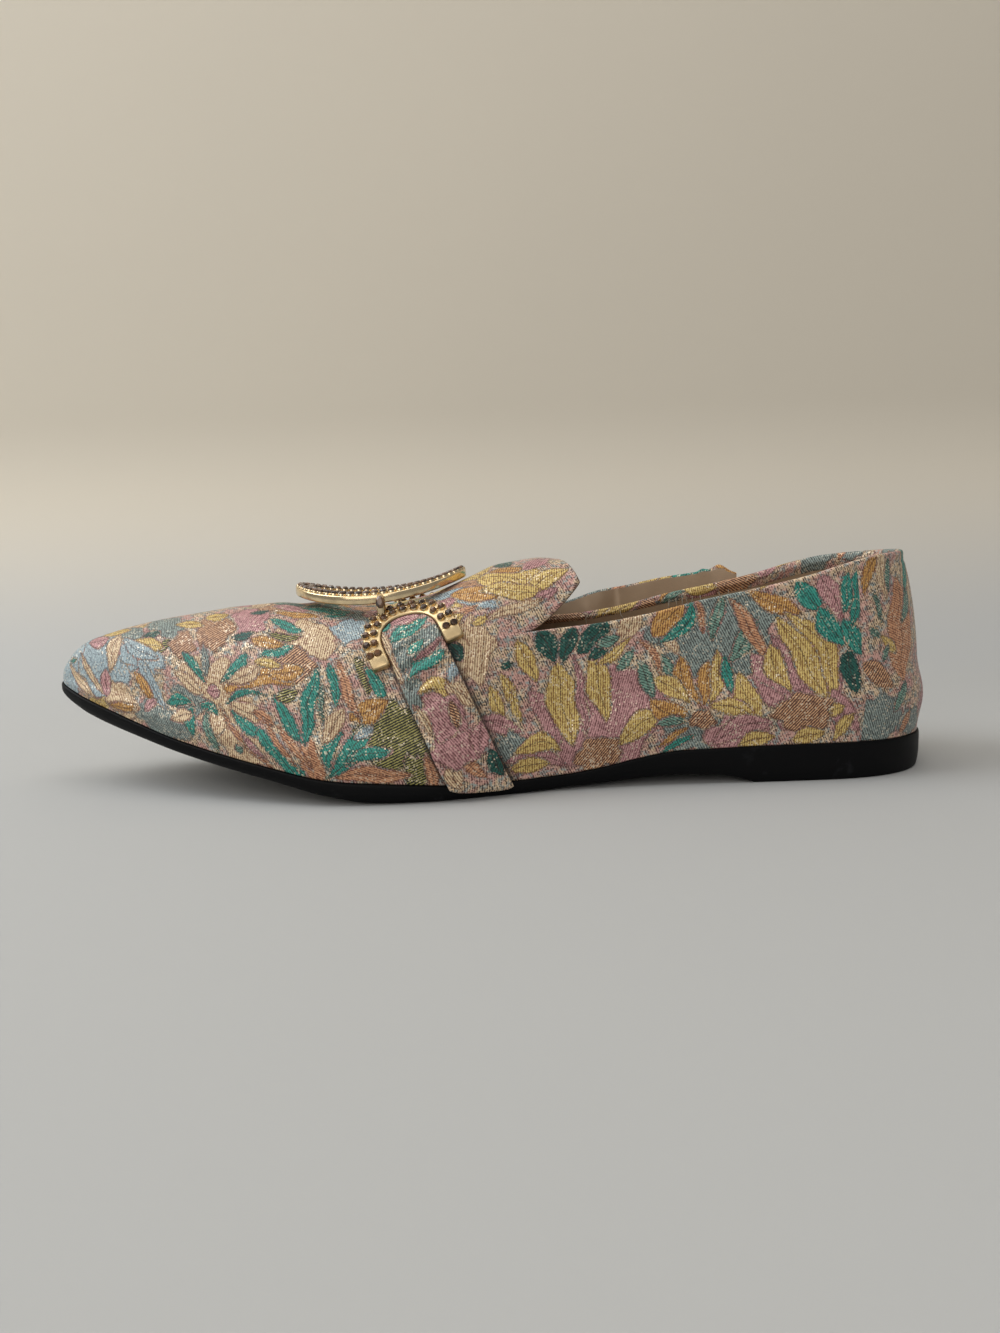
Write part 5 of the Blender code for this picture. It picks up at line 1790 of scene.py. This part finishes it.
def light_and_camera():
    """The lamps, the room's faint light from all sides, and the camera of the photograph."""
    for lamp in LAMPS:
        make_lamp(lamp)
    world = bpy.data.worlds.new("room_light")
    world.use_nodes = True
    world.node_tree.nodes["Background"].inputs[0].default_value = ROOM_LIGHT
    world.node_tree.nodes["Background"].inputs[1].default_value = ROOM_STRENGTH
    bpy.context.scene.world = world
    bpy.context.scene.view_settings.view_transform = "Standard"
    data = bpy.data.cameras.new("camera")
    data.sensor_fit = "AUTO"
    data.sensor_width = SENSOR
    data.lens = SENSOR * FOCAL_LENGTH / PICTURE_HEIGHT
    data.clip_start, data.clip_end = 0.01, 20.0
    pitch, roll = math.radians(CAMERA_PITCH), math.radians(CAMERA_ROLL)
    forward = np.array([0.0, math.cos(pitch), -math.sin(pitch)])
    right = np.array([1.0, 0.0, 0.0])
    down = np.cross(forward, right)
    tilted = right * math.cos(roll) + down * math.sin(roll)
    below = down * math.cos(roll) - right * math.sin(roll)
    camera = place_object("camera", data)
    camera.matrix_world = turned(tilted, -below, -forward, CAMERA_PLACE)
    bpy.context.scene.camera = camera


# Where the motifs are laid on each piece: table, shifts along and across, half turn, and from the far edge
VAMP_LAYOUTS = [
    (QUARTER_MOTIFS, 96, 50, 1, False),
    (QUARTER_MOTIFS, 320, 94, -1, False),
    (VAMP_MOTIFS, 410, 0, -1, True),
    (VAMP_MOTIFS, 0, 0, 1, False),
    (QUARTER_MOTIFS[6:16], 0, 0, 1, False),
]
OUTER_LAYOUTS = [
    (QUARTER_MOTIFS, 20, 44, 1, False),
    (VAMP_MOTIFS[:30], 0, 0, 1, False),
    (QUARTER_MOTIFS, 0, 0, 1, False),
]
INNER_LAYOUTS = [(QUARTER_MOTIFS, 182, 17, -1, False), (QUARTER_MOTIFS, 178, 53, -1, False)]
HEEL_LAYOUTS = [(HEEL_MOTIFS, 0, 57, -1, False), (HEEL_MOTIFS, 0, 0, 1, False)]
FOLD_LAYOUTS = [(QUARTER_MOTIFS, 0, 0, 1, False), (QUARTER_MOTIFS, 60, 8, 1, False)]
STRAP_LAYOUTS = [(STRAP_MOTIFS, 0, 0, 1, False)]

Looks = namedtuple("Looks", "brocade lining gold dull_gold stones yarn")


def dress_upper(looks):
    """The cloth, linings, sock, sole, slack fold and frayed yarns."""
    brocade, lining = looks.brocade, looks.lining
    vamp = weave_motifs(make_vamp(brocade), VAMP_LAYOUTS)
    settle(shade_by_straps(vamp), "brocade", "upper")
    outer = make_quarter("quarter_outer_cloth", LATERAL, brocade, near_band, OUTER_GRID, OUTER_CREASES)
    settle(shade_by_straps(weave_motifs(outer, OUTER_LAYOUTS)), "brocade")
    inner = make_quarter("quarter_inner_cloth", MEDIAL, brocade, far_band, INNER_GRID, [])
    settle(weave_motifs(inner, INNER_LAYOUTS), "brocade")
    settle(weave_motifs(make_heel_panel(brocade, near_band), HEEL_LAYOUTS), "brocade")
    for make in (make_quarter_lining, make_vamp_lining, make_tongue_lining):
        settle(make(lining), "lining")
    settle(make_sock(lining), "lining", "insole")
    settle(make_sole(sole_finish()), "sole_rubber", "outsole")
    settle(weave_motifs(make_fold(brocade, lining), FOLD_LAYOUTS), "brocade", "collar_fold")
    settle(make_yarns(far_band, looks.yarn), "thread")


def dress_strap(side, word, looks, gem, cup, bead):
    """One side's strap, with its horseshoe, stones, link and stitches."""
    strap = weave_motifs(make_strap(side, f"strap_{word}_cloth", looks.brocade), STRAP_LAYOUTS)
    settle(strap, "brocade", f"strap_{word}")
    base = make_horseshoe(side, f"horseshoe_{word}_base", looks.dull_gold)
    settle(base, "gold", f"horseshoe_{word}")
    spots = np.concatenate([arch_spots(*row) for row in SHOE_ROWS], axis=1)
    stones = frames_on_strap(side, *spots, SHOE_STONE_UP)
    beads = frames_on_strap(side, *arch_spots(*SHOE_BEADS), SHOE_BEAD_UP)
    gems = set_piece(f"horseshoe_{word}_stones", [(gem, *stones, 0.94 * STONE)], looks.stones, False)
    settle(gems, "stones")
    sets = [(cup, *stones, STONE), (bead, *beads, SHOE_BEAD)]
    settle(set_piece(f"horseshoe_{word}_settings", sets, looks.gold, True), "gold")
    path = link_path(side)
    sheet = Sheet()
    sheet.add(tube(path, LINK_RADIUS, 14), wrap=True)
    settle(sheet.piece(f"link_{word}", [looks.gold], merge=1e-7, closed=True), "gold")
    oval = oval_on_link(side, path, gem)
    settle(set_piece(f"link_{word}_stone", [oval], looks.stones, False), "stones")
    settle(make_stitches(side, f"strap_{word}_stitches", looks.yarn), "thread")


def dress_ring(looks, gem, cup, bead):
    """The ring's band, its two rows of stones in their cups, and the beads between."""
    settle(make_ring(looks.gold), "gold", "ornament_ring")
    rows = [ring_frames(*row, RING_STONE_UP) for row in RING_ROWS]
    stones = [np.concatenate(parts) for parts in zip(*rows)]
    beads = ring_frames(*RING_BEADS, RING_BEAD_UP)
    settle(set_piece("ring_stones", [(gem, *stones, 0.95 * STONE)], looks.stones, False), "stones")
    sets = [(cup, *stones, STONE), (bead, *beads, RING_BEAD)]
    settle(set_piece("ring_settings", sets, looks.gold, True), "gold")


def main():
    looks = Looks(
        brocade=brocade_finish("brocade"),
        lining=lining_finish("tan_lining", (0.40, 0.285, 0.185), (0.30, 0.205, 0.125)),
        gold=plain_metal("pale_gold", (0.86, 0.68, 0.42), 0.04),
        dull_gold=plain_metal("matt_gold", (0.66, 0.50, 0.28), 0.26),
        stones=stone_finish(),
        yarn=yarn_finish(),
    )
    shapes = gem_shape(), cup_shape(), bead_shape()
    dress_upper(looks)
    for side, word in ((LATERAL, "outer"), (MEDIAL, "inner")):
        dress_strap(side, word, looks, *shapes)
    dress_ring(looks, *shapes)
    make_stage()
    light_and_camera()


main()
